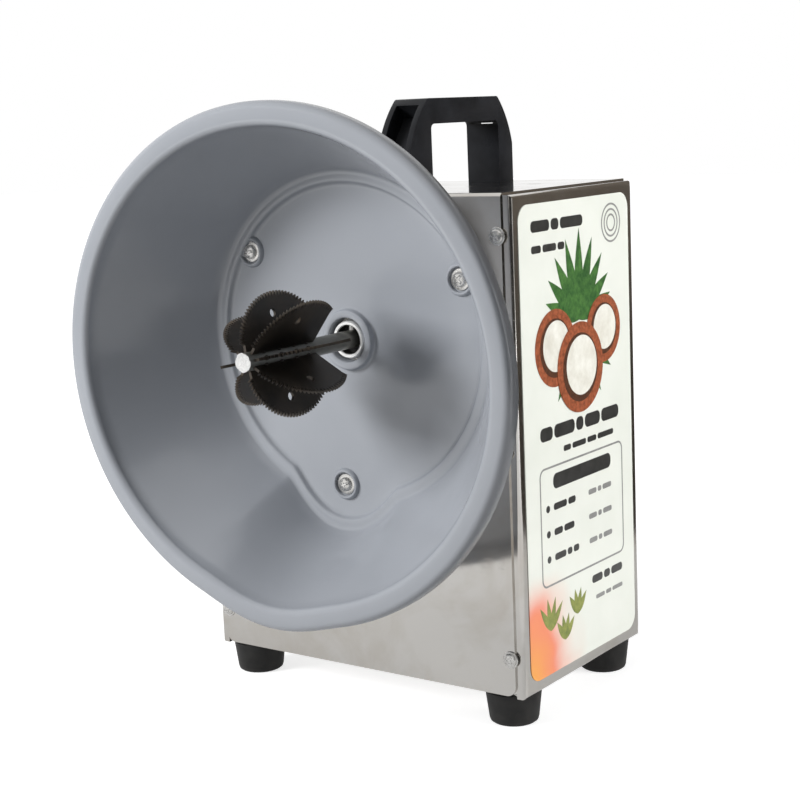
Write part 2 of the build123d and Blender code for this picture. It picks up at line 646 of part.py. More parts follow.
# ---- motor magnets and brushes ----
MAGNET_T = 10.5
MAGNET_IN_R = CASE_R - CASE_WALL - MAGNET_T
MAGNET_SPLIT = 30.0    # width of the gap between the two magnets
MAGNET_FRONT = CARRIER_BACK - 30.0
MAGNET_L = 46.0
MAGNET_BACK = MAGNET_FRONT - MAGNET_L

with BuildPart() as magnets:
    disc(MAGNET_FRONT, MAGNET_BACK, CASE_R - CASE_WALL, MAGNET_IN_R)
    with Locations(facing_front((MAGNET_FRONT + MAGNET_BACK) / 2)):
        Box(MAGNET_SPLIT, 2 * CASE_R, MAGNET_FRONT - MAGNET_BACK + EPS, mode=Mode.SUBTRACT)

ROTOR_R = MAGNET_IN_R - 1.5
ROTOR_SLOTS = 12
SLOT_DEPTH = 12.0
SLOT_W = 3.2
ROTOR_FRONT = MAGNET_FRONT - 2
ROTOR_BACK = MAGNET_BACK + 2
COMMUTATOR_R = 12.0
COMMUTATOR_FRONT = ROTOR_BACK - 3
COMMUTATOR_BACK = COMMUTATOR_FRONT - 14.0

with BuildPart() as rotor_core:
    disc(ROTOR_FRONT, ROTOR_BACK, ROTOR_R)
    with BuildSketch(facing_front(ROTOR_FRONT)):
        with PolarLocations(ROTOR_R - SLOT_DEPTH / 2, ROTOR_SLOTS):
            Rectangle(SLOT_DEPTH + EPS, SLOT_W)
    extrude(amount=ROTOR_BACK - ROTOR_FRONT, mode=Mode.SUBTRACT)
    bore(ROTOR_FRONT, ROTOR_BACK, SPINDLE_R + FIT)

with BuildPart() as commutator:
    disc(COMMUTATOR_FRONT, COMMUTATOR_BACK, COMMUTATOR_R, SPINDLE_R + FIT)

BRUSH_L = CASE_R - CASE_WALL - COMMUTATOR_R - 2 * GAP
with BuildPart() as brushes:
    mid_reach = (COMMUTATOR_FRONT + COMMUTATOR_BACK) / 2
    with Locations(facing_front(mid_reach)):
        with Locations(*[(s * (COMMUTATOR_R + GAP + BRUSH_L / 2), 0, 0) for s in (-1, 1)]):
            Box(BRUSH_L, 8, 7)

FAN_R = CASE_R - CASE_WALL - 4.5
FAN_HUB_R = 12.0
FAN_FRONT = BOSS_BACK - 2.0
FAN_T = 9.0
FAN_BLADES = 9

with BuildPart() as fan:
    disc(FAN_FRONT, FAN_FRONT - FAN_T, FAN_HUB_R)
    disc(FAN_FRONT - FAN_T + 1.5, FAN_FRONT - FAN_T, FAN_R)
    with Locations(facing_front(FAN_FRONT - FAN_T / 2)):
        with PolarLocations((FAN_R + FAN_HUB_R) / 2 - 1, FAN_BLADES):
            Box(FAN_R - FAN_HUB_R, 1.6, FAN_T)
    bore(FAN_FRONT, FAN_FRONT - FAN_T, SPINDLE_R + FIT)

# ---- spindle ----
# A turned steel shaft with a bright socket at its front end that holds the cutter rod.
SOCKET_R = 9.2
SOCKET_FRONT = BOWL_FLOOR + HUB_H - 1.5
SOCKET_BACK = 2 * GAP - SHEET
ROD_R = 5.0
SPINDLE_BACK = CAP_BACK - 3
LOCK_R = 1.8

with BuildPart() as spindle:
    disc(SOCKET_FRONT, SOCKET_BACK, SOCKET_R)
    chamfer(spindle.edges().group_by(Axis.Y)[0], 1.0)
    disc(SOCKET_BACK, SPINDLE_BACK, SPINDLE_R)
    bore(SOCKET_FRONT, SOCKET_BACK, ROD_R + FIT)
    lock_z = AXIS_Z + (SOCKET_R + ROD_R) / 2
    with Locations((0, FRONT - 3.5, lock_z)):
        Cylinder(LOCK_R + FIT, SOCKET_R, mode=Mode.SUBTRACT)

with BuildPart() as lock_screw:
    with Locations((0, FRONT - 3.5, lock_z - GAP / 2)):
        Cylinder(LOCK_R, SOCKET_R - ROD_R - GAP - FIT)

# ---- cutter rod ----
with BuildPart() as cutter_rod:
    disc(ROD_TIP, SOCKET_BACK, ROD_R)
    chamfer(cutter_rod.edges().group_by(Axis.Y)[0], 0.8)
    chamfer(cutter_rod.edges().group_by(Axis.Y)[-1], 0.5)

# ---- cutter blades ----
# Eight steel blades stand on the rod like the ribs of a lantern. Each has an arched edge
# cut into saw teeth, a straight slanted rear edge and one round hole.
BLADES = 8
BLADE_TURN = 12.0
BLADE_T = 1.5
BLADE_FRONT = ROD_TIP - 0.5
BLADE_REAR = 34.0      # reach of the root of the rear edge
BLADE_CROWN = 53.0     # reach of the arch's highest point
BLADE_R = 33.5
ARCH_START = 8.0       # angle along the arch at the nose
ARCH_END = 135.0       # angle along the arch at the heel
TOOTH_COUNT = 40
TOOTH_DEPTH = 1.9
TOOTH_LEAN = 0.7       # share of a tooth's pitch at which its tip stands
BLADE_HOLE_R = 2.2
BLADE_HOLE = (BLADE_CROWN + 4, 0.66 * BLADE_R)


def arch_point(share, lift=0.0):
    """Point of the arch in reach and radius, from the nose (share 0) to the heel (share 1)."""
    angle = radians(ARCH_START + (ARCH_END - ARCH_START) * share)
    span = BLADE_FRONT - BLADE_CROWN + lift
    rise = BLADE_R - ROD_R + lift
    return (BLADE_CROWN + span * cos(angle), ROD_R + rise * sin(angle))


def blade_outline():
    """Toothed outline in reach and radius."""
    edge = []
    for i in range(TOOTH_COUNT):
        edge.append(arch_point(i / TOOTH_COUNT, -TOOTH_DEPTH))
        edge.append(arch_point((i + TOOTH_LEAN) / TOOTH_COUNT))
    edge.append(arch_point(1.0, -TOOTH_DEPTH))
    root = ROD_R + FIT
    return [(BLADE_FRONT - TOOTH_DEPTH, root)] + edge + [(BLADE_REAR, root)]


with BuildPart() as cutter_blades:
    blade_plane = Plane(origin=(0, FRONT, AXIS_Z), x_dir=(0, -1, 0), z_dir=(1, 0, 0))
    with BuildSketch(blade_plane) as blade_shape:
        with BuildLine():
            Polyline(*blade_outline(), close=True)
        make_face()
        with Locations(BLADE_HOLE):
            Circle(BLADE_HOLE_R, mode=Mode.SUBTRACT)
    blade = extrude(blade_shape.sketch, amount=BLADE_T / 2, both=True, mode=Mode.PRIVATE)
    spin_axis = Axis((0, FRONT, AXIS_Z), (0, -1, 0))
    for i in range(BLADES):
        add(blade.rotate(spin_axis, BLADE_TURN + 360 / BLADES * i))

# ---- speed control ----
POT_R = 12.0
POT_T = 11.0
POT_SHAFT_R = 3.0
POT_NECK_L = 5.0
POT_NUT_T = 2.0
POT_SHAFT_OUT = 12.0
KNOB_R = 12.5
KNOB_RECESS_R = 8.5
KNOB_RECESS = 6.5
KNOB_FLUTES = 18


def knob_plane(out):
    """Plane on the knob's axis, looking to the rear, `out` behind the rear panel."""
    return facing_back(BACK + out, KNOB_X, KNOB_Z)


def knob_disc(low, high, radius):
    with BuildSketch(knob_plane(low)) as ring:
        Circle(radius)
    extrude(ring.sketch, amount=high - low)


def knob_bore(low, high, radius):
    with BuildSketch(knob_plane(low)) as hole:
        Circle(radius)
    extrude(hole.sketch, amount=high - low, mode=Mode.SUBTRACT)


with BuildPart() as speed_control:
    knob_disc(-SHEET - POT_T, -SHEET, POT_R)
    knob_disc(-SHEET, POT_NECK_L, POT_NECK_R)
    knob_bore(-SHEET - 3, POT_NECK_L, POT_SHAFT_R + FIT)
    with BuildSketch(knob_plane(-SHEET - POT_T / 2)):
        with Locations((0, -POT_R - 4)):
            with GridLocations(5, 1, 3, 1):
                Rectangle(1.6, 12)
    extrude(amount=0.8)

with BuildPart() as speed_control_nut:
    with BuildSketch(knob_plane(0)):
        RegularPolygon(5.5, 6, major_radius=False)
        Circle(POT_NECK_R + FIT, mode=Mode.SUBTRACT)
    extrude(amount=POT_NUT_T)

with BuildPart() as speed_shaft:
    knob_disc(-SHEET - 3 + GAP, POT_SHAFT_OUT, POT_SHAFT_R)

with BuildPart() as speed_knob:
    knob_disc(GAP * 2, KNOB_H, KNOB_R)
    with BuildSketch(knob_plane(3)):
        with PolarLocations(KNOB_R + 0.5, KNOB_FLUTES):
            Circle(1.1)
    extrude(amount=KNOB_H, mode=Mode.SUBTRACT)
    knob_bore(GAP * 2, KNOB_RECESS, KNOB_RECESS_R)
    knob_bore(GAP * 2, POT_SHAFT_OUT + GAP, POT_SHAFT_R + FIT)
    with BuildSketch(knob_plane(KNOB_H)):
        with Locations((0, KNOB_R - 4)):
            Rectangle(1.4, 6)
    extrude(amount=-0.7, mode=Mode.SUBTRACT)

# ---- switch ----
# A rocker in a snap-in body. The rocker lies at its off stop.
SWITCH_RIM = 2.5
SWITCH_RIM_T = 2.0
SWITCH_DEEP = 18.0
SWITCH_WALL = 1.5
ROCKER_TILT = 10.0
ROCKER_SWING = 2 * ROCKER_TILT
ROCKER_R = 8.5
ROCKER_IN = 3.0        # pivot depth below the bezel's face
PIVOT_Y = BACK + SWITCH_RIM_T - ROCKER_IN
PIVOT_R = 1.2

with BuildPart() as switch_body:
    with BuildSketch(facing_back(BACK, SWITCH_X, SWITCH_Z)):
        RectangleRounded(SWITCH_W + 2 * SWITCH_RIM, SWITCH_H + 2 * SWITCH_RIM, 2)
    extrude(amount=SWITCH_RIM_T)
    with BuildSketch(facing_back(BACK, SWITCH_X, SWITCH_Z)):
        Rectangle(SWITCH_W, SWITCH_H)
    extrude(amount=-SWITCH_DEEP)
    with BuildSketch(facing_back(BACK + SWITCH_RIM_T, SWITCH_X, SWITCH_Z)):
        Rectangle(SWITCH_W - 2 * SWITCH_WALL, SWITCH_H - 2 * SWITCH_WALL)
    extrude(amount=-(ROCKER_IN + ROCKER_R + 2), mode=Mode.SUBTRACT)
    with Locations((SWITCH_X, PIVOT_Y, SWITCH_Z)):
        Cylinder(PIVOT_R, SWITCH_W - SWITCH_WALL, rotation=(0, 90, 0))
    with BuildSketch(facing_back(BACK - SWITCH_DEEP, SWITCH_X, SWITCH_Z)):
        with GridLocations(1, 8, 1, 3):
            Rectangle(5, 0.8)
    extrude(amount=-8)

with BuildPart() as switch_rocker:
    rocker_w = SWITCH_W - 2 * SWITCH_WALL - 2 * GAP
    rocker_half = SWITCH_H / 2 - SWITCH_WALL - 1.2
    with BuildSketch(Plane.YZ.offset(SWITCH_X)) as rocker_side:
        with BuildLine():
            Polyline((PIVOT_Y + 5.0, SWITCH_Z + rocker_half), (PIVOT_Y + 3.2, SWITCH_Z),
                     (PIVOT_Y + 5.0, SWITCH_Z - rocker_half), (PIVOT_Y, SWITCH_Z - rocker_half + 1),
                     (PIVOT_Y - 6.0, SWITCH_Z), (PIVOT_Y, SWITCH_Z + rocker_half - 1), close=True)
        make_face()
        with Locations((PIVOT_Y, SWITCH_Z)):
            Circle(PIVOT_R + FIT, mode=Mode.SUBTRACT)
    rocker_flat = extrude(rocker_side.sketch, amount=rocker_w / 2, both=True, mode=Mode.PRIVATE)
    add(rocker_flat.rotate(Axis((SWITCH_X, PIVOT_Y, SWITCH_Z), (1, 0, 0)), -ROCKER_TILT))

# ---- cable gland ----
GLAND_BORE_R = 3.6
GLAND_HEX = 17.0
GLAND_CAP_R = 8.0

with BuildPart() as cable_gland:
    with BuildSketch(facing_back(BACK, GLAND_X, GLAND_Z)):
        RegularPolygon(GLAND_HEX / 2, 6, major_radius=False)
    extrude(amount=4.5)
    with BuildSketch(facing_back(BACK + 4.5, GLAND_X, GLAND_Z)):
        Circle(GLAND_CAP_R)
    extrude(amount=8, taper=8)
    with BuildSketch(facing_back(BACK, GLAND_X, GLAND_Z)):
        Circle(GLAND_NECK_R)
    extrude(amount=-SHEET - 8)
    with BuildSketch(facing_back(BACK + 20, GLAND_X, GLAND_Z)):
        Circle(GLAND_BORE_R)
    extrude(amount=-40, mode=Mode.SUBTRACT)

with BuildPart() as gland_nut:
    with BuildSketch(facing_back(SKIN_BACK, GLAND_X, GLAND_Z)):
        RegularPolygon(GLAND_HEX / 2, 6, major_radius=False)
        Circle(GLAND_NECK_R + FIT, mode=Mode.SUBTRACT)
    extrude(amount=-4)

# ---- speed control board ----
POST_R = 3.2
POST_H = 8.0
POST_Z = BOTTOM + 2 * SHEET
BOARD_T = 1.6
BOARD_Z = POST_Z + POST_H
SINK_FINS = 5

with BuildPart() as board_posts:
    with BuildSketch(Plane.XY.offset(POST_Z)):
        with Locations(*BOARD_HOLES):
            RegularPolygon(POST_R, 6)
            Circle(POST_SCREW_R + FIT, mode=Mode.SUBTRACT)
    extrude(amount=POST_H)

with BuildPart() as board_screws:
    for height, way in ((BOTTOM + SHEET, -1), (BOARD_Z + BOARD_T, 1)):
        with BuildSketch(Plane.XY.offset(height)):
            with Locations(*BOARD_HOLES):
                Circle(POST_SCREW_R)
        extrude(amount=-way * 5)
        with BuildSketch(Plane.XY.offset(height)):
            with Locations(*BOARD_HOLES):
                Circle(2.8)
        extrude(amount=way * 2)

with BuildPart() as control_board:
    with BuildSketch(Plane.XY.offset(BOARD_Z)):
        with Locations(BOARD_SPOT):
            Rectangle(BOARD_W, BOARD_D)
        with Locations(*BOARD_HOLES):
            Circle(POST_SCREW_R + HOLE_PLAY, mode=Mode.SUBTRACT)
    extrude(amount=BOARD_T)

with BuildPart() as heat_sink:
    fin_w = 3.0
    pitch = 7.0
    top_of_board = BOARD_Z + BOARD_T
    with Locations((BOARD_SPOT[0] + 14, BOARD_SPOT[1] + 14, top_of_board + 12)):
        Box(SINK_FINS * pitch + fin_w, 3, 24)
    for i in range(SINK_FINS + 1):
        with Locations((BOARD_SPOT[0] + 14 + (i - SINK_FINS / 2) * pitch, BOARD_SPOT[1] + 8, top_of_board + 12)):
            Box(fin_w, 14, 24)

with BuildPart() as capacitor:
    with Locations((BOARD_SPOT[0] - 20, BOARD_SPOT[1] - 8, top_of_board + 13)):
        Cylinder(9, 26)
    chamfer(capacitor.edges().group_by(Axis.Z)[-1], 1.0)

save(right_panel, "right_panel")
save(left_panel, "left_panel")
save(front_sheet.part, "front_sheet")
save(rear_panel.part, "rear_panel")
save(base_plate.part, "base_plate")
save(side_label.part, "side_label")
save(handle.part, "handle")
save(feet.part, "feet")
save(front_screws.part, "front_screws")
save(rear_screws.part, "rear_screws")
save(foot_screws.part, "foot_screws")
save(foot_nuts.part, "foot_nuts")
save(handle_screws.part, "handle_screws")
save(bowl.part, "bowl")
save(bowl_washers.part, "bowl_washers")
save(bowl_screws.part, "bowl_screws")
save(bowl_nuts.part, "bowl_nuts")
save(bearing_carrier.part, "bearing_carrier")
save(motor_shell.part, "motor_shell")
save(motor_cap.part, "motor_cap")
save(carrier_screws.part, "carrier_screws")
save(carrier_nuts.part, "carrier_nuts")
save(magnets.part, "magnets")
save(rotor_core.part, "rotor_core")
save(commutator.part, "commutator")
save(brushes.part, "brushes")
save(fan.part, "fan")
save(spindle.part, "spindle")
save(lock_screw.part, "lock_screw")
save(cutter_rod.part, "cutter_rod")
save(front_bearing_outer, "front_bearing_outer")
save(front_bearing_inner, "front_bearing_inner")
save(rear_bearing_outer, "rear_bearing_outer")
save(rear_bearing_inner, "rear_bearing_inner")
save(cutter_blades.part, "cutter_blades")
save(speed_control.part, "speed_control")
save(speed_control_nut.part, "speed_control_nut")
save(speed_shaft.part, "speed_shaft")
save(speed_knob.part, "speed_knob")
save(switch_body.part, "switch_body")
save(switch_rocker.part, "switch_rocker")
save(cable_gland.part, "cable_gland")
save(gland_nut.part, "gland_nut")
save(board_posts.part, "board_posts")
save(board_screws.part, "board_screws")
save(control_board.part, "control_board")
save(heat_sink.part, "heat_sink")
save(capacitor.part, "capacitor")
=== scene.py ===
import json
import math
import random

import bmesh
import bpy
from mathutils import Matrix, Vector

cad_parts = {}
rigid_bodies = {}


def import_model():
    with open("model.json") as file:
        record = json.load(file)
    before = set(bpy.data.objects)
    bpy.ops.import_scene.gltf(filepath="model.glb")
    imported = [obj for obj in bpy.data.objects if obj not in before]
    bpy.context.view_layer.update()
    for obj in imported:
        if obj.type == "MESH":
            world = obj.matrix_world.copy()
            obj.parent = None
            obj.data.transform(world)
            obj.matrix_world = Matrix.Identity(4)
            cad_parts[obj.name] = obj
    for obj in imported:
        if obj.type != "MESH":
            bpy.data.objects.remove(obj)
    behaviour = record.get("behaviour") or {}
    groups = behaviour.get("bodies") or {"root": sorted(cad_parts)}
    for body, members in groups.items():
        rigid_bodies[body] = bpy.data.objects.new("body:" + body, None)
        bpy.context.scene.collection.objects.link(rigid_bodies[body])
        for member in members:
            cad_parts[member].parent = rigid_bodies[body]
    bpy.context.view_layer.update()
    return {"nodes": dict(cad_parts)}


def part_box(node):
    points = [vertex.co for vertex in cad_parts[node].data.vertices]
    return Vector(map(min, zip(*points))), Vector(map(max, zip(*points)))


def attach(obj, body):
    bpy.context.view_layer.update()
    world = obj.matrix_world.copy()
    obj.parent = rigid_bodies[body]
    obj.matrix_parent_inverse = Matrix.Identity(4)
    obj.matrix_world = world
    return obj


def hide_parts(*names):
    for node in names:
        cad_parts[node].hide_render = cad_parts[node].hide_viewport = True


for start_object in list(bpy.data.objects):
    bpy.data.objects.remove(start_object)
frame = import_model()

# ---- housing sheets ----
# Folded stainless sheet, 1.2 mm thick and polished: one piece for the front and top,
# two sides with flanges and a base plate. Handling leaves it smudged and faintly scratched.
MM = 0.001
housing_low, housing_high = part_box("front_sheet")
front_y = housing_low.y


def new_material(name, rough=0.5, metal=0.0):
    """A material with its nodes, its links and its shader."""
    mat = bpy.data.materials.new(name)
    mat.use_nodes = True
    bsdf = mat.node_tree.nodes["Principled BSDF"]
    bsdf.inputs["Roughness"].default_value = rough
    bsdf.inputs["Metallic"].default_value = metal
    return mat, mat.node_tree.nodes, mat.node_tree.links, bsdf


def texture_place(nodes, links, scale=(1, 1, 1), turn=(0, 0, 0), move=(0, 0, 0)):
    """Object coordinates, stretched, turned and moved."""
    coord = nodes.new("ShaderNodeTexCoord")
    mapping = nodes.new("ShaderNodeMapping")
    mapping.inputs["Location"].default_value = move
    mapping.inputs["Rotation"].default_value = turn
    mapping.inputs["Scale"].default_value = scale
    links.new(coord.outputs["Object"], mapping.inputs["Vector"])
    return mapping.outputs["Vector"]


def cloud(nodes, links, place, scale, detail=4.0, rough=0.5, distortion=0.0):
    """An even noise pattern, from 0 to 1."""
    pattern = nodes.new("ShaderNodeTexNoise")
    pattern.inputs["Scale"].default_value = scale
    pattern.inputs["Detail"].default_value = detail
    pattern.inputs["Roughness"].default_value = rough
    pattern.inputs["Distortion"].default_value = distortion
    links.new(place, pattern.inputs["Vector"])
    return pattern.outputs["Fac"]


def stretch(nodes, links, value, low, high, out_low, out_high):
    """Maps a value between two limits onto two others."""
    limits = nodes.new("ShaderNodeMapRange")
    limits.inputs["From Min"].default_value = low
    limits.inputs["From Max"].default_value = high
    limits.inputs["To Min"].default_value = out_low
    limits.inputs["To Max"].default_value = out_high
    links.new(value, limits.inputs["Value"])
    return limits.outputs["Result"]


def together(nodes, links, operation, first, second):
    """Two values, or a value and a number, joined by a sum, a product or the like."""
    joined = nodes.new("ShaderNodeMath")
    joined.operation = operation
    for socket, value in zip(joined.inputs, (first, second)):
        if isinstance(value, (int, float)):
            socket.default_value = value
        else:
            links.new(value, socket)
    return joined.outputs[0]


def tint(nodes, links, value, stops):
    """Colour ramp over a value; stops are (position, colour)."""
    ramp = nodes.new("ShaderNodeValToRGB")
    while len(ramp.color_ramp.elements) < len(stops):
        ramp.color_ramp.elements.new(0.5)
    for element, (position, colour) in zip(ramp.color_ramp.elements, stops):
        element.position = position
        element.color = (*colour, 1)
    links.new(value, ramp.inputs["Fac"])
    return ramp.outputs["Color"]


def relief(nodes, links, bsdf, height, distance, strength):
    """Fine unevenness of the surface, distance in metres."""
    bump = nodes.new("ShaderNodeBump")
    bump.inputs["Distance"].default_value = distance
    bump.inputs["Strength"].default_value = strength
    links.new(height, bump.inputs["Height"])
    links.new(bump.outputs["Normal"], bsdf.inputs["Normal"])


def coloured(nodes, links, bsdf, value, low, high):
    """Two tones of one colour, spread over a pattern."""
    links.new(tint(nodes, links, value, [(0.3, low), (0.7, high)]), bsdf.inputs["Base Color"])


def roughened(nodes, links, bsdf, value, low, high):
    """A roughness that runs between two values over a pattern."""
    links.new(stretch(nodes, links, value, 0.3, 0.7, low, high), bsdf.inputs["Roughness"])


def give(mat, *node_names):
    """Puts a material on CAD nodes."""
    for node in node_names:
        frame["nodes"][node].data.materials[0] = mat


def sheet_steel(name, low_rough, high_rough, base, stain):
    """Polished stainless: fine grain up the sheet, cloudy hand marks and a few scratches."""
    mat, nodes, links, bsdf = new_material(name, metal=1.0)
    grain = cloud(nodes, links, texture_place(nodes, links, (900, 900, 12)), 1.0, 3.0, 0.6)
    plain = texture_place(nodes, links)
    smudge = cloud(nodes, links, plain, 17.0, 5.0, 0.6, 0.9)
    marks = cloud(nodes, links, texture_place(nodes, links, move=(0.3, 0.1, 0.2)), 38.0, 3.0, 0.5, 1.5)
    scratch = cloud(nodes, links, texture_place(nodes, links, (60, 60, 900), (0.2, 0.3, 0.1)), 1.0, 2.0, 0.4)
    worn = together(nodes, links, "MULTIPLY", smudge, stretch(nodes, links, marks, 0.35, 0.65, 0.88, 1.06))
    links.new(tint(nodes, links, worn, [(0.30, stain), (0.56, base)]), bsdf.inputs["Base Color"])
    haze = stretch(nodes, links, worn, 0.3, 0.6, high_rough, low_rough)
    lines = stretch(nodes, links, scratch, 0.62, 0.75, 0.0, 0.12)
    links.new(together(nodes, links, "ADD", haze, lines), bsdf.inputs["Roughness"])
    relief(nodes, links, bsdf, grain, 0.00002, 0.3)
    return mat


polished = sheet_steel("polished_steel", 0.08, 0.15, (0.58, 0.565, 0.54), (0.515, 0.485, 0.445))
give(polished, "front_sheet", "right_panel", "left_panel", "base_plate")

# ---- rear panel ----
# A flat sheet over the rear flanges, brushed up and down, with air slots behind the motor.
brushed = sheet_steel("brushed_steel", 0.24, 0.30, (0.62, 0.61, 0.59), (0.58, 0.565, 0.54))
give(brushed, "rear_panel")

# ---- printed film on the right side ----
# A cream polyester film, laminated and stuck to the steel, with one corner in warm colours.
# The print is generic: leaves, discs, plain bars and a grey rounded frame, without words.
film_low, film_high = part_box("side_label")
INK = 0.04
LAMINATE = 0.2
GLOW_REACH = 0.062

film, nodes, links, bsdf = new_material("cream_film", rough=0.34)
bsdf.inputs["Coat Weight"].default_value = LAMINATE
place = texture_place(nodes, links)
glow_spot = (film_high.x, film_low.y, film_low.z)
away = nodes.new("ShaderNodeVectorMath")
away.operation = "DISTANCE"
away.inputs[1].default_value = glow_spot
links.new(place, away.inputs[0])
wave = stretch(nodes, links, cloud(nodes, links, place, 22.0, 2.0), 0.3, 0.7, -0.008, 0.008)
glow = together(nodes, links, "ADD", away.outputs["Value"], wave)
paper_tone = [(0.30, (0.705, 0.725, 0.66)), (0.70, (0.755, 0.77, 0.71))]
paper = tint(nodes, links, cloud(nodes, links, place, 30.0, 4.0), paper_tone)
warm = tint(nodes, links, stretch(nodes, links, glow, 0.0, GLOW_REACH, 0.0, 1.0),
            [(0.0, (0.80, 0.36, 0.05)), (0.55, (0.78, 0.22, 0.13)), (1.0, (0.74, 0.62, 0.54))])
blend = nodes.new("ShaderNodeMix")
blend.data_type = "RGBA"
links.new(stretch(nodes, links, glow, 0.030, GLOW_REACH, 0.0, 1.0), blend.inputs["Factor"])
links.new(warm, blend.inputs["A"])
links.new(paper, blend.inputs["B"])
links.new(blend.outputs["Result"], bsdf.inputs["Base Color"])
relief(nodes, links, bsdf, cloud(nodes, links, place, 900.0, 2.0), 0.00001, 0.3)
give(film, "side_label")


def ink(name, low, high, scale=160.0):
    """Printing ink under the laminate."""
    mat, nodes, links, bsdf = new_material(name, rough=0.36)
    bsdf.inputs["Coat Weight"].default_value = LAMINATE
    place = texture_place(nodes, links)
    mottle = cloud(nodes, links, place, scale, 5.0, 0.65)
    links.new(tint(nodes, links, mottle, [(0.34, low), (0.66, high)]), bsdf.inputs["Base Color"])
    relief(nodes, links, bsdf, cloud(nodes, links, place, 900.0, 2.0), 0.00001, 0.3)
    return mat


def new_piece(name, shape, body, node, slot, *materials, crease=35):
    """Makes a finished shape an object that rides on a body and may stand for a CAD node."""
    bmesh.ops.recalc_face_normals(shape, faces=shape.faces[:])
    mesh = bpy.data.meshes.new(name)
    shape.to_mesh(mesh)
    shape.free()
    mesh.shade_smooth()
    mesh.set_sharp_from_angle(angle=math.radians(crease))
    piece = bpy.data.objects.new(name, mesh)
    bpy.context.collection.objects.link(piece)
    for mat in materials:
        mesh.materials.append(mat)
    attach(piece, body)
    if node:
        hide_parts(node)


def join_to(target, shape, place):
    """Adds a shape to the target at its place and frees it."""
    shape.transform(place)
    part = bpy.data.meshes.new("part")
    shape.to_mesh(part)
    shape.free()
    target.from_mesh(part)
    bpy.data.meshes.remove(part)


def lifted(shape, height, direction=(0, 0, 1)):
    """Gives a flat shape a thickness."""
    raised = bmesh.ops.extrude_face_region(shape, geom=shape.faces[:])["geom"]
    corners = [g for g in raised if isinstance(g, bmesh.types.BMVert)]
    bmesh.ops.translate(shape, verts=corners, vec=Vector(direction) * height)
    bmesh.ops.recalc_face_normals(shape, faces=shape.faces[:])


def hollowed(shape, border):
    """Turns a flat plate into a frame of the width given."""
    bmesh.ops.inset_region(shape, faces=shape.faces[:], thickness=border, use_even_offset=True,
                           use_boundary=True)
    middle = [f for f in shape.faces if len(f.verts) > 4]
    bmesh.ops.delete(shape, geom=middle, context="FACES")


def on_film(across, up, turn=0.0, layer=0):
    """Place on the film in millimetres from its lower front corner, looking out."""
    outwards = Matrix(((0, 0, 1, 0), (1, 0, 0, 0), (0, 1, 0, 0), (0, 0, 0, 1)))
    spot = Vector((film_high.x + layer * INK * MM, film_low.y + across * MM, film_low.z + up * MM))
    return Matrix.Translation(spot) @ outwards @ Matrix.Rotation(turn, 4, "Z") @ Matrix.Scale(MM, 4)


def printed(target, shape, place):
    """Gives a flat shape the thickness of a layer of ink and adds it to the target."""
    lifted(shape, INK)
    join_to(target, shape, place)


def rounded_plate(length, height, corner):
    """A flat oblong with round corners."""
    shape = bmesh.new()
    bmesh.ops.create_grid(shape, x_segments=1, y_segments=1, size=0.5)
    bmesh.ops.scale(shape, verts=shape.verts[:], vec=(length, height, 1))
    bmesh.ops.bevel(shape, geom=shape.verts[:], offset=corner, segments=6, profile=0.5,
                    affect="VERTICES", material=-1)
    return shape


def printed_bar(target, across, up, length, height):
    """A bar with nearly round ends, from its left end."""
    printed(target, rounded_plate(length, height, height * 0.42), on_film(across + length / 2, up))


def printed_disc(target, across, up, radius, layer=0):
    """A round spot of ink."""
    shape = bmesh.new()
    bmesh.ops.create_circle(shape, cap_ends=True, segments=64, radius=radius)
    printed(target, shape, on_film(across, up, layer=layer))


def printed_leaf(target, across, up, length, width, turn, layer=0):
    """A leaf with a pointed tip, laid from its stalk in the direction given."""
    shape = bmesh.new()
    bmesh.ops.create_circle(shape, cap_ends=True, segments=28, radius=1)
    for v in shape.verts:
        v.co.y *= (1 - v.co.x * v.co.x) ** 0.5 * (1 - 0.35 * v.co.x)
    bmesh.ops.remove_doubles(shape, verts=shape.verts[:], dist=1e-4)
    bmesh.ops.translate(shape, verts=shape.verts[:], vec=(1, 0, 0))
    bmesh.ops.scale(shape, verts=shape.verts[:], vec=(length / 2, width / 2, 1))
    printed(target, shape, on_film(across, up, math.radians(turn), layer))


dark_ink = ink("dark_ink", (0.022, 0.022, 0.021), (0.040, 0.040, 0.038))
grey_ink = ink("grey_ink", (0.20, 0.20, 0.195), (0.26, 0.26, 0.25))
husk_ink = ink("husk_ink", (0.17, 0.045, 0.020), (0.40, 0.115, 0.050), 420.0)
shell_ink = ink("shell_ink", (0.050, 0.022, 0.014), (0.11, 0.045, 0.024), 500.0)
flesh_ink = ink("flesh_ink", (0.64, 0.62, 0.54), (0.80, 0.79, 0.72), 90.0)
leaf_ink = ink("leaf_ink", (0.018, 0.070, 0.020), (0.075, 0.19, 0.045), 260.0)
olive_ink = ink("olive_ink", (0.13, 0.17, 0.025), (0.27, 0.29, 0.06), 260.0)

LEAF_STEP = 0.3
LEAF_LENGTH = 50
LEAF_W = 9
FAN_SPOT = (60, 190)
FAN_TURNS = (18, 34, 52, 70, 88, 106, 124, 142, 160)
leaves = bmesh.new()
for number, turn in enumerate(FAN_TURNS):
    length = LEAF_LENGTH - abs(turn - 88) * 0.18
    printed_leaf(leaves, *FAN_SPOT, length, LEAF_W, turn, number * LEAF_STEP)
for number, turn in enumerate((205, 232, 305, 330)):
    printed_leaf(leaves, 60, 180, 40, LEAF_W, turn, number * LEAF_STEP)
new_piece("film_leaves", leaves, "housing", None, "label_film", leaf_ink)

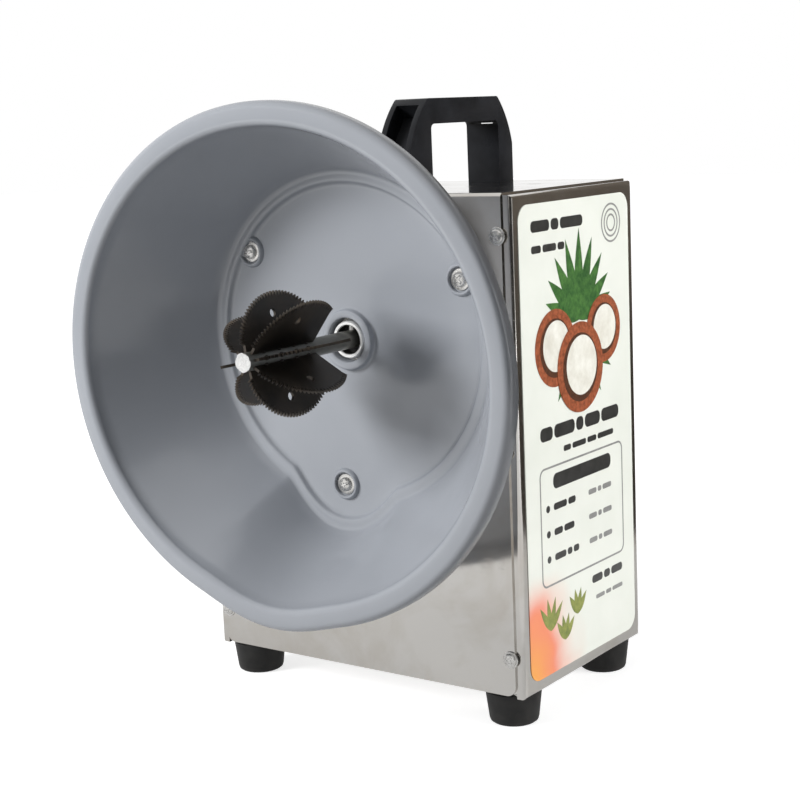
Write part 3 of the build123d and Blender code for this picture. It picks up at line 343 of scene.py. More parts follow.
SPROUTS = ((22, 24, 19), (37, 15, 15), (51, 26, 15))
SPROUT_W = 4.4
olive_leaves = bmesh.new()
for across, up, length in SPROUTS:
    for number, turn in enumerate((48, 74, 100, 126)):
        printed_leaf(olive_leaves, across, up, length, SPROUT_W, turn, number * LEAF_STEP)
new_piece("film_small_leaves", olive_leaves, "housing", None, "label_film", olive_ink)

DISCS = ((34, 178, 21), (87, 182, 19), (60, 164, 25))
MIDDLE_SHARE = 0.76
INNER_SHARE = 0.66
husks = bmesh.new()
shells = bmesh.new()
flesh = bmesh.new()
for number, (across, up, radius) in enumerate(DISCS):
    layer = 3 + 3 * number
    printed_disc(husks, across, up, radius, layer)
    printed_disc(shells, across, up, radius * MIDDLE_SHARE, layer + 1)
    printed_disc(flesh, across + radius * 0.05, up + radius * 0.04, radius * INNER_SHARE, layer + 2)
new_piece("film_husks", husks, "housing", None, "label_film", husk_ink)
new_piece("film_shells", shells, "housing", None, "label_film", shell_ink)
new_piece("film_flesh", flesh, "housing", None, "label_film", flesh_ink)

DASH_GAP = 1.6
LINE_W = 1.1
TABLE_ROWS = ((92, (14, 8)), (78, (9, 11)), (64, (12, 5, 6)))


def dash_row(target, across, up, lengths, height):
    """A line of plain dashes."""
    for length in lengths:
        printed_bar(target, across, up, length, height)
        across += length + DASH_GAP


grey_print = bmesh.new()
border = rounded_plate(92, 66, 5)
hollowed(border, LINE_W)
printed(grey_print, border, on_film(60, 82))
for up, _ in TABLE_ROWS:
    dash_row(grey_print, 66, up, (9, 4, 10), 3.0)
dash_row(grey_print, 72, 30, (10, 6, 12), 2.4)
for radius in (5.0, 8.0, 11.0):
    hoop = bmesh.new()
    bmesh.ops.create_circle(hoop, cap_ends=True, segments=64, radius=radius)
    hollowed(hoop, LINE_W)
    printed(grey_print, hoop, on_film(98, 240))
new_piece("film_frame", grey_print, "housing", None, "label_film", grey_ink)

dark_print = bmesh.new()
printed_bar(dark_print, 28, 106, 64, 8.5)
for up, lengths in TABLE_ROWS:
    printed_disc(dark_print, 22, up, 2.0)
    dash_row(dark_print, 28, up, lengths, 3.8)
dash_row(dark_print, 16, 133, (13, 22, 8, 17, 20), 7.5)
dash_row(dark_print, 40, 122, (8, 15, 10, 18), 3.2)
dash_row(dark_print, 68, 41, (12, 7, 13), 4.6)
dash_row(dark_print, 12, 244, (19, 8, 24), 6.0)
dash_row(dark_print, 12, 232, (10, 14, 7), 4.0)
new_piece("film_bars", dark_print, "housing", None, "label_film", dark_ink)

# ---- rubber feet ----
# Four black rubber feet, moulded with a taper to the floor and soft edges. A screw goes
# up through each into the housing.
FOOT_R = 15.5
FOOT_PROFILE = [(2.6, 18.0), (15.4, 18.0), (FOOT_R, 17.2), (15.1, 14.0), (13.7, 2.4), (13.2, 0.9),
                (12.2, 0.15), (11.0, 0.0), (6.6, 0.0), (6.0, 0.6), (6.0, 12.0), (2.6, 12.0), (2.6, 18.0)]


def spun(profile, steps):
    """A closed shape from an outline of (radius, height) points, spun round its axis."""
    shape = bmesh.new()
    points = [shape.verts.new((r, 0, h)) for r, h in profile]
    outline = [shape.edges.new(pair) for pair in zip(points, points[1:])]
    bmesh.ops.spin(shape, geom=points + outline, cent=(0, 0, 0), axis=(0, 0, 1), angle=2 * math.pi,
                   steps=steps, use_merge=True)
    bmesh.ops.remove_doubles(shape, verts=shape.verts[:], dist=1e-4)
    bmesh.ops.recalc_face_normals(shape, faces=shape.faces[:])
    return shape


# Near-black rubber for the feet. The same material also paints shade inside the spindle's socket.
rubber_and_socket_shade, nodes, links, bsdf = new_material("foot_rubber", rough=0.6)
bsdf.inputs["Specular IOR Level"].default_value = 0.35
place = texture_place(nodes, links)
coloured(nodes, links, bsdf, cloud(nodes, links, place, 120.0), (0.010, 0.010, 0.010), (0.022, 0.021, 0.020))
relief(nodes, links, bsdf, cloud(nodes, links, place, 1500.0, 2.0), 0.00004, 0.5)

feet_low, feet_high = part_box("feet")
inset = FOOT_R * MM
feet = bmesh.new()
for x in (feet_low.x + inset, feet_high.x - inset):
    for y in (feet_low.y + inset, feet_high.y - inset):
        join_to(feet, spun(FOOT_PROFILE, 64), Matrix.Translation((x, y, 0)) @ Matrix.Scale(MM, 4))
new_piece("rubber_feet", feet, "housing", "feet", "foot_rubber", rubber_and_socket_shade)

# ---- handle ----
# A bow handle moulded in black plastic with a fine grain and eased edges, hollow at both
# ends and screwed to the top sheet from inside.
black, nodes, links, bsdf = new_material("black_plastic")
bsdf.inputs["Specular IOR Level"].default_value = 0.16
place = texture_place(nodes, links)
coloured(nodes, links, bsdf, cloud(nodes, links, place, 70.0), (0.010, 0.0105, 0.012), (0.018, 0.019, 0.022))
roughened(nodes, links, bsdf, cloud(nodes, links, place, 45.0), 0.26, 0.38)
relief(nodes, links, bsdf, cloud(nodes, links, place, 2200.0, 2.0), 0.00003, 0.4)


def soften(shape, width):
    """Rounds every sharp edge, over three segments."""
    sharp = [e for e in shape.edges if e.is_manifold and e.calc_face_angle() > math.radians(30)]
    bmesh.ops.bevel(shape, geom=sharp, offset=width, segments=3, profile=0.5, affect="EDGES",
                    clamp_overlap=True, material=-1)


def eased_copy(node, name, body, slot, mat, width):
    """A merged copy of a CAD node with soft edges, which stands for it."""
    shape = bmesh.new()
    shape.from_mesh(frame["nodes"][node].data)
    bmesh.ops.remove_doubles(shape, verts=shape.verts[:], dist=2e-6)
    bmesh.ops.dissolve_limit(shape, angle_limit=math.radians(0.5), verts=shape.verts[:],
                             edges=shape.edges[:])
    soften(shape, width * MM)
    for face in shape.faces:
        face.material_index = 0
    new_piece(name, shape, body, node, slot, mat)


eased_copy("handle", "carry_handle", "housing", "black_plastic", black, 1.0)

# ---- bowl ----
# A thick grey moulding, open to the front, with a rounded rim, a lobe at its foot and
# raised rings round the spindle and the screws. A small step runs round its floor.
rod_low, rod_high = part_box("cutter_rod")
axis_z = (rod_low.z + rod_high.z) / 2
LOBE_TURN = math.radians(-95)
RIM = {"half_x": 146, "half_z": 137, "drop": 7, "lobe": 147, "lobe_r": 74, "blend": 6}
FLOOR = {"half_x": 86.5, "half_z": 85.5, "drop": 0, "lobe": 101, "lobe_r": 32, "blend": 12}
RIM_W = 13
RIM_ROUND = 4
BOWL_DEPTH = 76
FLOOR_REACH = 6
HUB_BORE = 12.2
SEGMENTS = 320


def outline_radius(angle, half_x, half_z, drop, lobe, lobe_r, blend):
    """Distance from the spindle to the bowl's outline: an oval joined to a round lobe."""
    x, z = math.cos(angle), math.sin(angle)
    a = (x / half_x) ** 2 + (z / half_z) ** 2
    b = z * drop / half_z ** 2
    c = (drop / half_z) ** 2 - 1
    oval = (math.sqrt(b * b - a * c) - b) / a
    off_axis = lobe - lobe_r
    side = off_axis * math.sin(angle - LOBE_TURN)
    along = off_axis * math.cos(angle - LOBE_TURN)
    if abs(side) >= lobe_r or along < 0 and off_axis > lobe_r:
        return oval
    bulge = along + math.sqrt(lobe_r ** 2 - side ** 2)
    overlap = max(blend - abs(oval - bulge), 0) / blend
    return max(oval, bulge) + overlap ** 2 * blend / 4


def bowl_outline(share, margin):
    """Outline between the floor's (share 0) and the rim's (share 1), grown by a margin."""
    def radius_at(angle):
        floor_part = (1 - share) * outline_radius(angle, **FLOOR)
        return margin + floor_part + share * outline_radius(angle, **RIM)

    return radius_at


def circle(radius):
    """A plain circle, in the same form as the bowl's outline."""
    return lambda angle: radius


def quarter(centre, radius, start, steps=6):
    """Points of a quarter round as (reach, margin)."""
    turns = [math.radians(start + 90 * i / steps) for i in range(steps + 1)]
    return [(centre[0] + radius * math.sin(t), centre[1] - radius * math.cos(t)) for t in turns]


HUB_RING = [(0, HUB_BORE), (8.7, HUB_BORE), (9.2, 12.4), (9.5, 12.9), (9.5, 15.6), (9.3, 16.2), (8.7, 16.5),
            (6.7, 16.7), (6.15, 17.1), (FLOOR_REACH, 18.0), (FLOOR_REACH, 40)]
FLOOR_STEP = [(FLOOR_REACH, -12), (FLOOR_REACH, -2.6), (6.15, -1.6), (6.6, -0.8), (7.4, -0.2), (8.2, 0.3),
              (8.7, 0.9), (8.9, 1.8), (8.85, 3.6), (8.9, 5.0), (9.3, 6.2), (10.2, 7.2)]
RIM_UNDERSIDE = [(68.0, 0), (67.3, -0.4), (67.0, -1.2), (67.0, -8.0), (66.6, -8.9), (65.4, -9.6)]
WALL_RINGS = 14
wall_foot = FLOOR_STEP[-1]
wall_top = (BOWL_DEPTH - RIM_ROUND, -RIM_W)
back_foot = (5.0, 10.0)
back_top = RIM_UNDERSIDE[-1]

rings = [(reach, circle(radius)) for reach, radius in HUB_RING]
rings += [(reach, bowl_outline(0, margin)) for reach, margin in FLOOR_STEP]
for i in range(1, WALL_RINGS):
    share = i / WALL_RINGS
    reach = wall_foot[0] + (wall_top[0] - wall_foot[0]) * share
    rings.append((reach, bowl_outline(share, wall_foot[1] * (1 - share) + wall_top[1] * share)))
rim_curve = quarter((BOWL_DEPTH - RIM_ROUND, RIM_ROUND - RIM_W), RIM_ROUND, 0)
rim_curve += quarter((BOWL_DEPTH - RIM_ROUND, -RIM_ROUND), RIM_ROUND, 90)
rings += [(reach, bowl_outline(1, margin)) for reach, margin in rim_curve + RIM_UNDERSIDE]
for i in range(1, WALL_RINGS):
    share = 1 - i / WALL_RINGS
    reach = back_foot[0] + (back_top[0] - back_foot[0]) * share
    rings.append((reach, bowl_outline(share, back_foot[1] + (back_top[1] - back_foot[1]) * share)))
rings += [(reach, bowl_outline(0, margin)) for reach, margin in ((4.2, 9.2), (0, 3.5))]
rings.append((0, circle(HUB_BORE)))

bowl = bmesh.new()
bmesh.ops.create_circle(bowl, segments=SEGMENTS, radius=1)
turns = [math.atan2(v.co.y, v.co.x) for v in bowl.verts]
edges = bowl.edges[:]
loop = bowl.verts[:]
for number, (reach, radius_at) in enumerate(rings):
    if number:
        made = bmesh.ops.extrude_edge_only(bowl, edges=edges)["geom"]
        loop = [g for g in made if isinstance(g, bmesh.types.BMVert)]
        ring = set(loop)
        edges = [g for g in made if isinstance(g, bmesh.types.BMEdge) and ring.issuperset(g.verts)]
        turns = [math.atan2(v.co.z - axis_z / MM, v.co.x) for v in loop]
    for v, turn in zip(loop, turns):
        radius = radius_at(turn)
        v.co.x = radius * math.cos(turn)
        v.co.y = front_y / MM - reach
        v.co.z = axis_z / MM + radius * math.sin(turn)
bmesh.ops.remove_doubles(bowl, verts=bowl.verts[:], dist=1e-3)
bmesh.ops.scale(bowl, verts=bowl.verts[:], vec=(MM, MM, MM))


def facing_front(reach, x=0.0, z=axis_z):
    """Place that looks out of the bowl, in millimetres in front of the front sheet."""
    forwards = Matrix.Rotation(math.pi / 2, 4, "X")
    return Matrix.Translation((x, front_y - reach * MM, z)) @ forwards @ Matrix.Scale(MM, 4)


SCREW_RING = 82
RING_PROFILE = [(6.6, -0.5), (6.6, 1.5), (6.9, 2.0), (7.4, 2.2), (8.0, 2.0), (8.6, 1.2), (9.0, 0.3),
                (9.3, -0.5), (6.6, -0.5)]
bowl_screw_spots = []
for i in range(3):
    spot_turn = LOBE_TURN + math.radians(120 * i)
    x = SCREW_RING * MM * math.cos(spot_turn)
    z = axis_z + SCREW_RING * MM * math.sin(spot_turn)
    bowl_screw_spots.append((x, z))
    join_to(bowl, spun(RING_PROFILE, 48), facing_front(FLOOR_REACH, x, z))

grey, nodes, links, bsdf = new_material("bowl_plastic")
bsdf.inputs["Specular IOR Level"].default_value = 0.6
place = texture_place(nodes, links)
tone = cloud(nodes, links, place, 9.0, 3.0)
coloured(nodes, links, bsdf, tone, (0.305, 0.322, 0.352), (0.330, 0.347, 0.378))
roughened(nodes, links, bsdf, cloud(nodes, links, place, 40.0, 5.0), 0.15, 0.24)
relief(nodes, links, bsdf, cloud(nodes, links, place, 60.0, 2.0), 0.00025, 0.25)
new_piece("moulded_bowl", bowl, "housing", "bowl", "bowl_plastic", grey, crease=60)

# ---- screws, nuts and washers ----
# Zinc-plated steel. The panel screws have domed heads with a washer face and a cross
# recess; three thicker ones with loose washers hold the bowl to the front sheet.
plated, nodes, links, bsdf = new_material("plated_steel", metal=0.8)
place = texture_place(nodes, links)
coloured(nodes, links, bsdf, cloud(nodes, links, place, 300.0), (0.54, 0.53, 0.51), (0.72, 0.71, 0.69))
roughened(nodes, links, bsdf, cloud(nodes, links, place, 500.0), 0.2, 0.36)
give(plated, "handle_screws", "foot_screws", "foot_nuts", "bowl_nuts", "carrier_screws", "carrier_nuts",
     "speed_control_nut", "board_posts", "board_screws", "lock_screw")

# Painted shade: the cross recesses are plated steel like the heads, but their walls and floors get this
# near-black colour to stand for the shade inside them.
painted_recess_shade, nodes, links, bsdf = new_material("recess_shade", rough=0.7)
place = texture_place(nodes, links)
coloured(nodes, links, bsdf, cloud(nodes, links, place, 400.0), (0.020, 0.020, 0.020), (0.06, 0.058, 0.055))

RECESS_ARM = 0.62
RECESS_HALF = 0.15
RECESS_DEPTH = 0.5
RECESS_TAPER = 0.72


def pan_head_screw(target, place, flange_r, flange_t, head_r, head_h, shank_r, shank_l):
    """A domed head with a cross recess on a plain shank. The recess is in shares of the head."""
    profile = [(0, -shank_l), (shank_r * 0.7, -shank_l), (shank_r, -shank_l + shank_r * 0.5), (shank_r, 0),
               (flange_r - 0.2, 0), (flange_r, 0.2), (flange_r, flange_t - 0.2), (flange_r - 0.25, flange_t),
               (head_r, flange_t)]
    rise = head_h - flange_t
    for i in range(8):
        bend = math.radians(90 * i / 7)
        profile.append((head_r * math.cos(bend), flange_t + 0.25 * rise + 0.75 * rise * math.sin(bend)))
    shape = spun(profile, 40)
    arm = head_r * RECESS_ARM
    half = head_r * RECESS_HALF
    depth = head_h * RECESS_DEPTH
    for axis in (Vector((1, 0, 0)), Vector((0, 1, 0))):
        for at in (-arm, -half, half, arm):
            whole = shape.verts[:] + shape.edges[:] + shape.faces[:]
            bmesh.ops.bisect_plane(shape, geom=whole, dist=1e-5, plane_co=axis * at, plane_no=axis)
    recess = []
    for face in shape.faces:
        centre = face.calc_center_median()
        near, far = sorted((abs(centre.x), abs(centre.y)))
        if near < half and far < arm and centre.z > flange_t:
            recess.append(face)
    # The sunk recess takes the second material, the near-black painted shade.
    sunk = bmesh.ops.extrude_face_region(shape, geom=recess)["geom"]
    floor_verts = [g for g in sunk if isinstance(g, bmesh.types.BMVert)]
    for face in [g for g in sunk if isinstance(g, bmesh.types.BMFace)]:
        face.material_index = 1
    bmesh.ops.translate(shape, verts=floor_verts, vec=(0, 0, -depth))
    bmesh.ops.scale(shape, verts=floor_verts, vec=(RECESS_TAPER, RECESS_TAPER, 1))
    join_to(target, shape, place)


def facing_back(y, x, z):
    """Place that looks out of the rear panel."""
    return Matrix.Translation((x, y, z)) @ Matrix.Rotation(-math.pi / 2, 4, "X") @ Matrix.Scale(MM, 4)


screws_low, screws_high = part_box("front_screws")
PANEL_SCREW = {"flange_r": 4.7, "flange_t": 0.8, "head_r": 3.7, "head_h": 2.4, "shank_r": 2.0, "shank_l": 9.0}
BOWL_SCREW = {"flange_r": 4.0, "flange_t": 0.4, "head_r": 3.9, "head_h": 2.8, "shank_r": 2.5, "shank_l": 14.0}
SOLID_HEAD_R = 4.4
WASHER_T = 0.8
WASHER_PROFILE = [(2.7, 0.0), (5.7, 0.0), (5.8, 0.15), (5.8, 0.6), (5.5, WASHER_T), (3.0, WASHER_T),
                  (2.7, 0.6), (2.7, 0.0)]
PANEL_TURNS = (0.3, 1.1, 0.6, 0.9, 0.2, 0.75)
BOWL_TURNS = (0.4, 0.9, 0.15)

middle_z = (screws_low.z + screws_high.z) / 2
head_r = SOLID_HEAD_R * MM
panel_spots = [(x, z) for x in (screws_low.x + head_r, screws_high.x - head_r)
               for z in (screws_low.z + head_r, middle_z, screws_high.z - head_r)]
front_set = bmesh.new()
rear_set = bmesh.new()
for (x, z), turn in zip(panel_spots, PANEL_TURNS):
    driven = Matrix.Rotation(turn, 4, "Z")
    pan_head_screw(front_set, facing_front(0, x, z) @ driven, **PANEL_SCREW)
    pan_head_screw(rear_set, facing_back(housing_high.y, x, z) @ driven, **PANEL_SCREW)
new_piece("front_panel_screws", front_set, "housing", "front_screws", "bright_screw", plated, painted_recess_shade)
new_piece("rear_panel_screws", rear_set, "housing", "rear_screws", "bright_screw", plated, painted_recess_shade)

bowl_set = bmesh.new()
washer_set = bmesh.new()
for (x, z), turn in zip(bowl_screw_spots, BOWL_TURNS):
    join_to(washer_set, spun(WASHER_PROFILE, 48), facing_front(FLOOR_REACH, x, z))
    driven = Matrix.Rotation(turn, 4, "Z")
    pan_head_screw(bowl_set, facing_front(FLOOR_REACH + WASHER_T, x, z) @ driven, **BOWL_SCREW)
new_piece("bowl_screw_set", bowl_set, "housing", "bowl_screws", "bright_screw", plated, painted_recess_shade)
new_piece("bowl_washer_set", washer_set, "housing", "bowl_washers", "bright_screw", plated)

# ---- spindle ----
# A ground steel shaft that ends in a bright round socket. The inside of the socket is coloured
# with the black rubber: painted shade, as the socket is shallow. It turns in two ball bearings behind the
# bowl.
bright, nodes, links, bsdf = new_material("ground_steel", metal=0.45)
place = texture_place(nodes, links)
coloured(nodes, links, bsdf, cloud(nodes, links, place, 200.0), (0.80, 0.80, 0.79), (0.92, 0.92, 0.91))
roughened(nodes, links, bsdf, cloud(nodes, links, place, 700.0), 0.14, 0.26)
give(bright, "speed_shaft", "front_bearing_outer", "front_bearing_inner", "rear_bearing_outer",
     "rear_bearing_inner")
spindle_back = (front_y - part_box("spindle")[1].y) / MM
SOCKET_R = 8.05
SHAFT_R = 6.0
spindle_profile = [(0, spindle_back), (SHAFT_R - 0.5, spindle_back), (SHAFT_R, spindle_back + 0.5),
                   (SHAFT_R, -0.6), (10.4, -0.6), (10.4, 6.6), (10.2, 7.5), (9.7, 8.0), (9.0, 8.1),
                   (8.3, 7.8), (8.0, 7.2), (7.9, 6.4), (7.8, 2.4), (5.1, 2.2), (5.1, -0.5), (0, -0.5)]
spindle = bmesh.new()
join_to(spindle, spun(spindle_profile, 72), facing_front(0))
# Faces inside the socket, more than a millimetre out from the front sheet, take the black rubber: painted
# shade that makes the shallow socket look deep.
for face in spindle.faces:
    centre = face.calc_center_median()
    inside = math.hypot(centre.x, centre.z - axis_z) < SOCKET_R * MM
    face.material_index = int(inside and front_y - centre.y > MM)
new_piece("spindle_shaft", spindle, "cutter", "spindle", "spindle_steel", bright, rubber_and_socket_shade)

# ---- cutter ----
# A steel rod with eight arched saw blades let in along it and tacked at their roots. It is
# dark from hardening and oil, and its end is ground bright.
dark, nodes, links, bsdf = new_material("hardened_steel", metal=0.5)
place = texture_place(nodes, links)
stain = cloud(nodes, links, place, 55.0, 6.0, 0.6, 0.6)
OILED = [(0.3, (0.040, 0.036, 0.031)), (0.55, (0.068, 0.056, 0.045)), (0.75, (0.105, 0.082, 0.060))]
links.new(tint(nodes, links, stain, OILED), bsdf.inputs["Base Color"])
roughened(nodes, links, bsdf, stain, 0.34, 0.5)
relief(nodes, links, bsdf, cloud(nodes, links, place, 900.0, 3.0), 0.00003, 0.4)

ROD_R = 5.0
ROD_TIP = 95.0
END_T = 0.3
ROD_PROFILE = [(0, -0.4), (ROD_R - 0.4, -0.4), (ROD_R, 0), (ROD_R, ROD_TIP - 1.2),
               (ROD_R - 0.1, ROD_TIP - 0.6), (ROD_R - 0.4, ROD_TIP - END_T), (0, ROD_TIP - END_T)]
rod = bmesh.new()
join_to(rod, spun(ROD_PROFILE, 48), facing_front(0))
rod_steel, nodes, links, bsdf = new_material("rod_steel", metal=0.6)
place = texture_place(nodes, links, (1, 0.4, 1))
streaks = cloud(nodes, links, place, 120.0, 5.0, 0.6)
coloured(nodes, links, bsdf, streaks, (0.13, 0.128, 0.115), (0.24, 0.235, 0.21))
roughened(nodes, links, bsdf, cloud(nodes, links, place, 300.0), 0.28, 0.42)
relief(nodes, links, bsdf, cloud(nodes, links, place, 700.0, 2.0), 0.00003, 0.4)
new_piece("grater_rod", rod, "cutter", "cutter_rod", "cutter_steel", rod_steel)

BLADES = 8
BLADE_TURN = math.radians(12)
BLADE_T = 1.5
BLADE_NOSE = ROD_TIP - 0.5
BLADE_CROWN = 61.0
BLADE_REAR = 42.0
BLADE_R = 33.5
ARCH = (math.radians(8), math.radians(135))
TEETH = 30
TOOTH_DEPTH = 3.0
TOOTH_LEAN = 0.6
HOLE_SPOT = (BLADE_CROWN + 4, 22.1)
HOLE_R = 2.2
BLADE_ROOT = ROD_R - 0.6
TACK_REACHES = (48, 58, 70, 82)
TACK_SIZE = (0.7, 0.6, 1.5)


def arch(share, depth=0.0):
    """(reach, radius) on the blade's arch, from its nose to its heel."""
    angle = ARCH[0] + (ARCH[1] - ARCH[0]) * share
    return (BLADE_CROWN + (BLADE_NOSE - BLADE_CROWN - depth) * math.cos(angle),
            ROD_R + (BLADE_R - ROD_R - depth) * math.sin(angle))


def saw_blade(target, turn):
    """A flat blade with a toothed arch and a round hole, its root in the rod."""
    edge = [(BLADE_NOSE - TOOTH_DEPTH, BLADE_ROOT)]
    for i in range(TEETH):
        edge += [arch(i / TEETH, TOOTH_DEPTH), arch((i + TOOTH_LEAN) / TEETH)]
    edge += [arch(1, TOOTH_DEPTH), (BLADE_REAR, BLADE_ROOT)]
    shape = bmesh.new()
    points = [shape.verts.new((radius, -BLADE_T / 2, reach)) for reach, radius in edge]
    border = [shape.edges.new(pair) for pair in zip(points, points[1:] + points[:1])]
    hole_place = Matrix.Translation((HOLE_SPOT[1], -BLADE_T / 2, HOLE_SPOT[0]))
    hole_place = hole_place @ Matrix.Rotation(math.pi / 2, 4, "X")
    hole = bmesh.ops.create_circle(shape, segments=24, radius=HOLE_R, matrix=hole_place)["verts"]
    border += list({e for v in hole for e in v.link_edges})
    bmesh.ops.triangle_fill(shape, use_beauty=True, edges=border, normal=(0, -1, 0))
    lifted(shape, BLADE_T, (0, 1, 0))
    join_to(target, shape, facing_front(0) @ Matrix.Rotation(turn, 4, "Z"))


def tack(target, reach, side, turn):
    """A small bead of weld beside a blade's root."""
    bead = bmesh.new()
    bmesh.ops.create_icosphere(bead, subdivisions=2, radius=1)
    bmesh.ops.scale(bead, verts=bead.verts[:], vec=TACK_SIZE)
    bmesh.ops.translate(bead, verts=bead.verts[:], vec=(ROD_R, side * BLADE_T * 0.55, reach))
    join_to(target, bead, facing_front(0) @ Matrix.Rotation(turn, 4, "Z"))


blades = bmesh.new()
tacks = bmesh.new()
for i in range(BLADES):
    turn = BLADE_TURN + 2 * math.pi / BLADES * i
    saw_blade(blades, turn)
    for reach in TACK_REACHES:
        tack(tacks, reach, -1, turn)
        tack(tacks, reach, 1, turn)
new_piece("saw_blades", blades, "cutter", "cutter_blades", "cutter_steel", dark, crease=25)
new_piece("blade_tacks", tacks, "cutter", None, "cutter_steel", dark)

ground, nodes, links, bsdf = new_material("ground_end", metal=0.25)
place = texture_place(nodes, links, (1, 1, 1), (0, 0.6, 0))
swirl = cloud(nodes, links, place, 350.0, 3.0, 0.6, 2.0)
coloured(nodes, links, bsdf, swirl, (0.55, 0.55, 0.54), (0.80, 0.80, 0.79))
roughened(nodes, links, bsdf, swirl, 0.36, 0.5)
relief(nodes, links, bsdf, swirl, 0.0001, 0.4)
rod_end = bmesh.new()
bmesh.ops.create_circle(rod_end, cap_ends=True, segments=40, radius=ROD_R + 0.1)
chips = random.Random(4)
for v in rod_end.verts:
    v.co *= 1 - chips.random() ** 3 * 0.12
lifted(rod_end, END_T)
rod_end.transform(facing_front(ROD_TIP - END_T))
new_piece("rod_ground_end", rod_end, "cutter", None, "cutter_steel", ground)

# ---- bearing carrier, motor cap and heat sink ----
# Cast and turned aluminium, dull, with a fine skin.
alloy, nodes, links, bsdf = new_material("cast_alloy", metal=1.0)
place = texture_place(nodes, links)
coloured(nodes, links, bsdf, cloud(nodes, links, place, 90.0), (0.50, 0.50, 0.51), (0.62, 0.62, 0.63))
roughened(nodes, links, bsdf, cloud(nodes, links, place, 400.0), 0.38, 0.55)
relief(nodes, links, bsdf, cloud(nodes, links, place, 1200.0, 2.0), 0.00005, 0.5)
give(alloy, "bearing_carrier", "motor_cap", "heat_sink")

# ---- motor ----
# A painted steel shell with two ferrite magnets. The rotor is a stack of steel sheets with
# a copper commutator, carbon brushes and a plastic fan.


def plain_finish(name, low, high, scale, rough, metal, grain):
    """A mottled colour with a fine grain."""
    mat, nodes, links, bsdf = new_material(name, rough, metal)
    place = texture_place(nodes, links)
    coloured(nodes, links, bsdf, cloud(nodes, links, place, scale), low, high)
    relief(nodes, links, bsdf, cloud(nodes, links, place, grain, 2.0), 0.00004, 0.5)
    return mat


motor_paint = plain_finish("motor_paint", (0.035, 0.036, 0.04), (0.055, 0.056, 0.06), 60, 0.42, 0.0, 800)
ferrite = plain_finish("ferrite", (0.030, 0.030, 0.033), (0.055, 0.055, 0.058), 200, 0.7, 0.0, 1500)
carbon = plain_finish("carbon", (0.018, 0.018, 0.018), (0.035, 0.035, 0.035), 300, 0.6, 0.0, 1500)
rotor_sheets = plain_finish("rotor_sheets", (0.20, 0.19, 0.18), (0.30, 0.29, 0.28), 250, 0.45, 0.9, 2500)
copper = plain_finish("copper", (0.62, 0.30, 0.16), (0.78, 0.42, 0.25), 180, 0.3, 1.0, 1200)
fan_plastic = plain_finish("fan_plastic", (0.06, 0.06, 0.065), (0.09, 0.09, 0.095), 120, 0.5, 0.0, 1500)
give(motor_paint, "motor_shell")
give(ferrite, "magnets")
give(carbon, "brushes")
give(rotor_sheets, "rotor_core")
give(copper, "commutator")
give(fan_plastic, "fan")

# ---- control board ----
# A lacquered glass-fibre board on four hexagonal posts, with a finned heat sink and one
# large capacitor in a plastic sleeve.
lacquer = plain_finish("board_lacquer", (0.012, 0.085, 0.035), (0.022, 0.13, 0.055), 150, 0.3, 0.0, 1500)
sleeve = plain_finish("capacitor_sleeve", (0.020, 0.028, 0.085), (0.032, 0.042, 0.12), 120, 0.25, 0.0, 900)
give(lacquer, "control_board", "speed_control")
give(sleeve, "capacitor")

# ---- rear controls ----
# A fluted knob on the speed control's shaft, a rocker switch and a cable gland, all in
# black plastic.
eased_copy("speed_knob", "speed_dial", "speed_knob", "black_plastic", black, 0.25)
eased_copy("switch_body", "switch_case", "housing", "black_plastic", black, 0.25)
eased_copy("cable_gland", "cable_entry", "housing", "black_plastic", black, 0.4)
give(black, "gland_nut")
gloss = plain_finish("rocker_plastic", (0.018, 0.018, 0.019), (0.028, 0.028, 0.03), 90, 0.18, 0.0, 900)
eased_copy("switch_rocker", "rocker_key", "switch_rocker", "rocker_plastic", gloss, 0.3)

# ---- camera ----
# It stands at the right front, nearly as high as the handle's top, and looks down by about
# ten degrees. It is turned slightly about its own line of sight.
CAMERA_ANGLES = (36.118, 9.835, -2.47)
CAMERA_DISTANCE = 0.984
AIM_LEFT, AIM_BACK, AIM_UP = 14, 66, 162.5
SENSOR_W = 36
FOCAL_SHARE = 1659.0 / 800
azimuth, elevation, roll = map(math.radians, CAMERA_ANGLES)
housing_x = (housing_low.x + housing_high.x) / 2
aim = Vector((housing_x - AIM_LEFT * MM, front_y + AIM_BACK * MM, AIM_UP * MM))
level = math.cos(elevation)
back = Vector((math.sin(azimuth) * level, -math.cos(azimuth) * level, math.sin(elevation)))
right = (-back).cross(Vector((0, 0, 1))).normalized()
up = right.cross(-back)
image_x = right * math.cos(roll) + up * math.sin(roll)
image_y = up * math.cos(roll) - right * math.sin(roll)
camera = bpy.data.objects.new("camera", bpy.data.cameras.new("camera"))
bpy.context.collection.objects.link(camera)
camera.data.sensor_width = SENSOR_W
camera.data.lens = FOCAL_SHARE * SENSOR_W
turned_to = Matrix((image_x, image_y, back)).transposed().to_4x4()
camera.matrix_world = Matrix.Translation(aim + back * CAMERA_DISTANCE) @ turned_to
bpy.context.scene.camera = camera

# ---- floor ----
# A pale studio floor that runs out to white. It keeps a soft shadow under the machine.
FLOOR_HALF = 6
NEAR_LIFT = 0.74
MIRRORED_LIFT = 0.45


def flat_board(name, width, height, place):
    """A flat oblong object at its place."""
    shape = bmesh.new()
    bmesh.ops.create_grid(shape, x_segments=1, y_segments=1, size=0.5)
    bmesh.ops.scale(shape, verts=shape.verts[:], vec=(width, height, 1))
    shape.transform(place)
    mesh = bpy.data.meshes.new(name)
    shape.to_mesh(mesh)
    shape.free()
    board = bpy.data.objects.new(name, mesh)
    bpy.context.collection.objects.link(board)
    return board


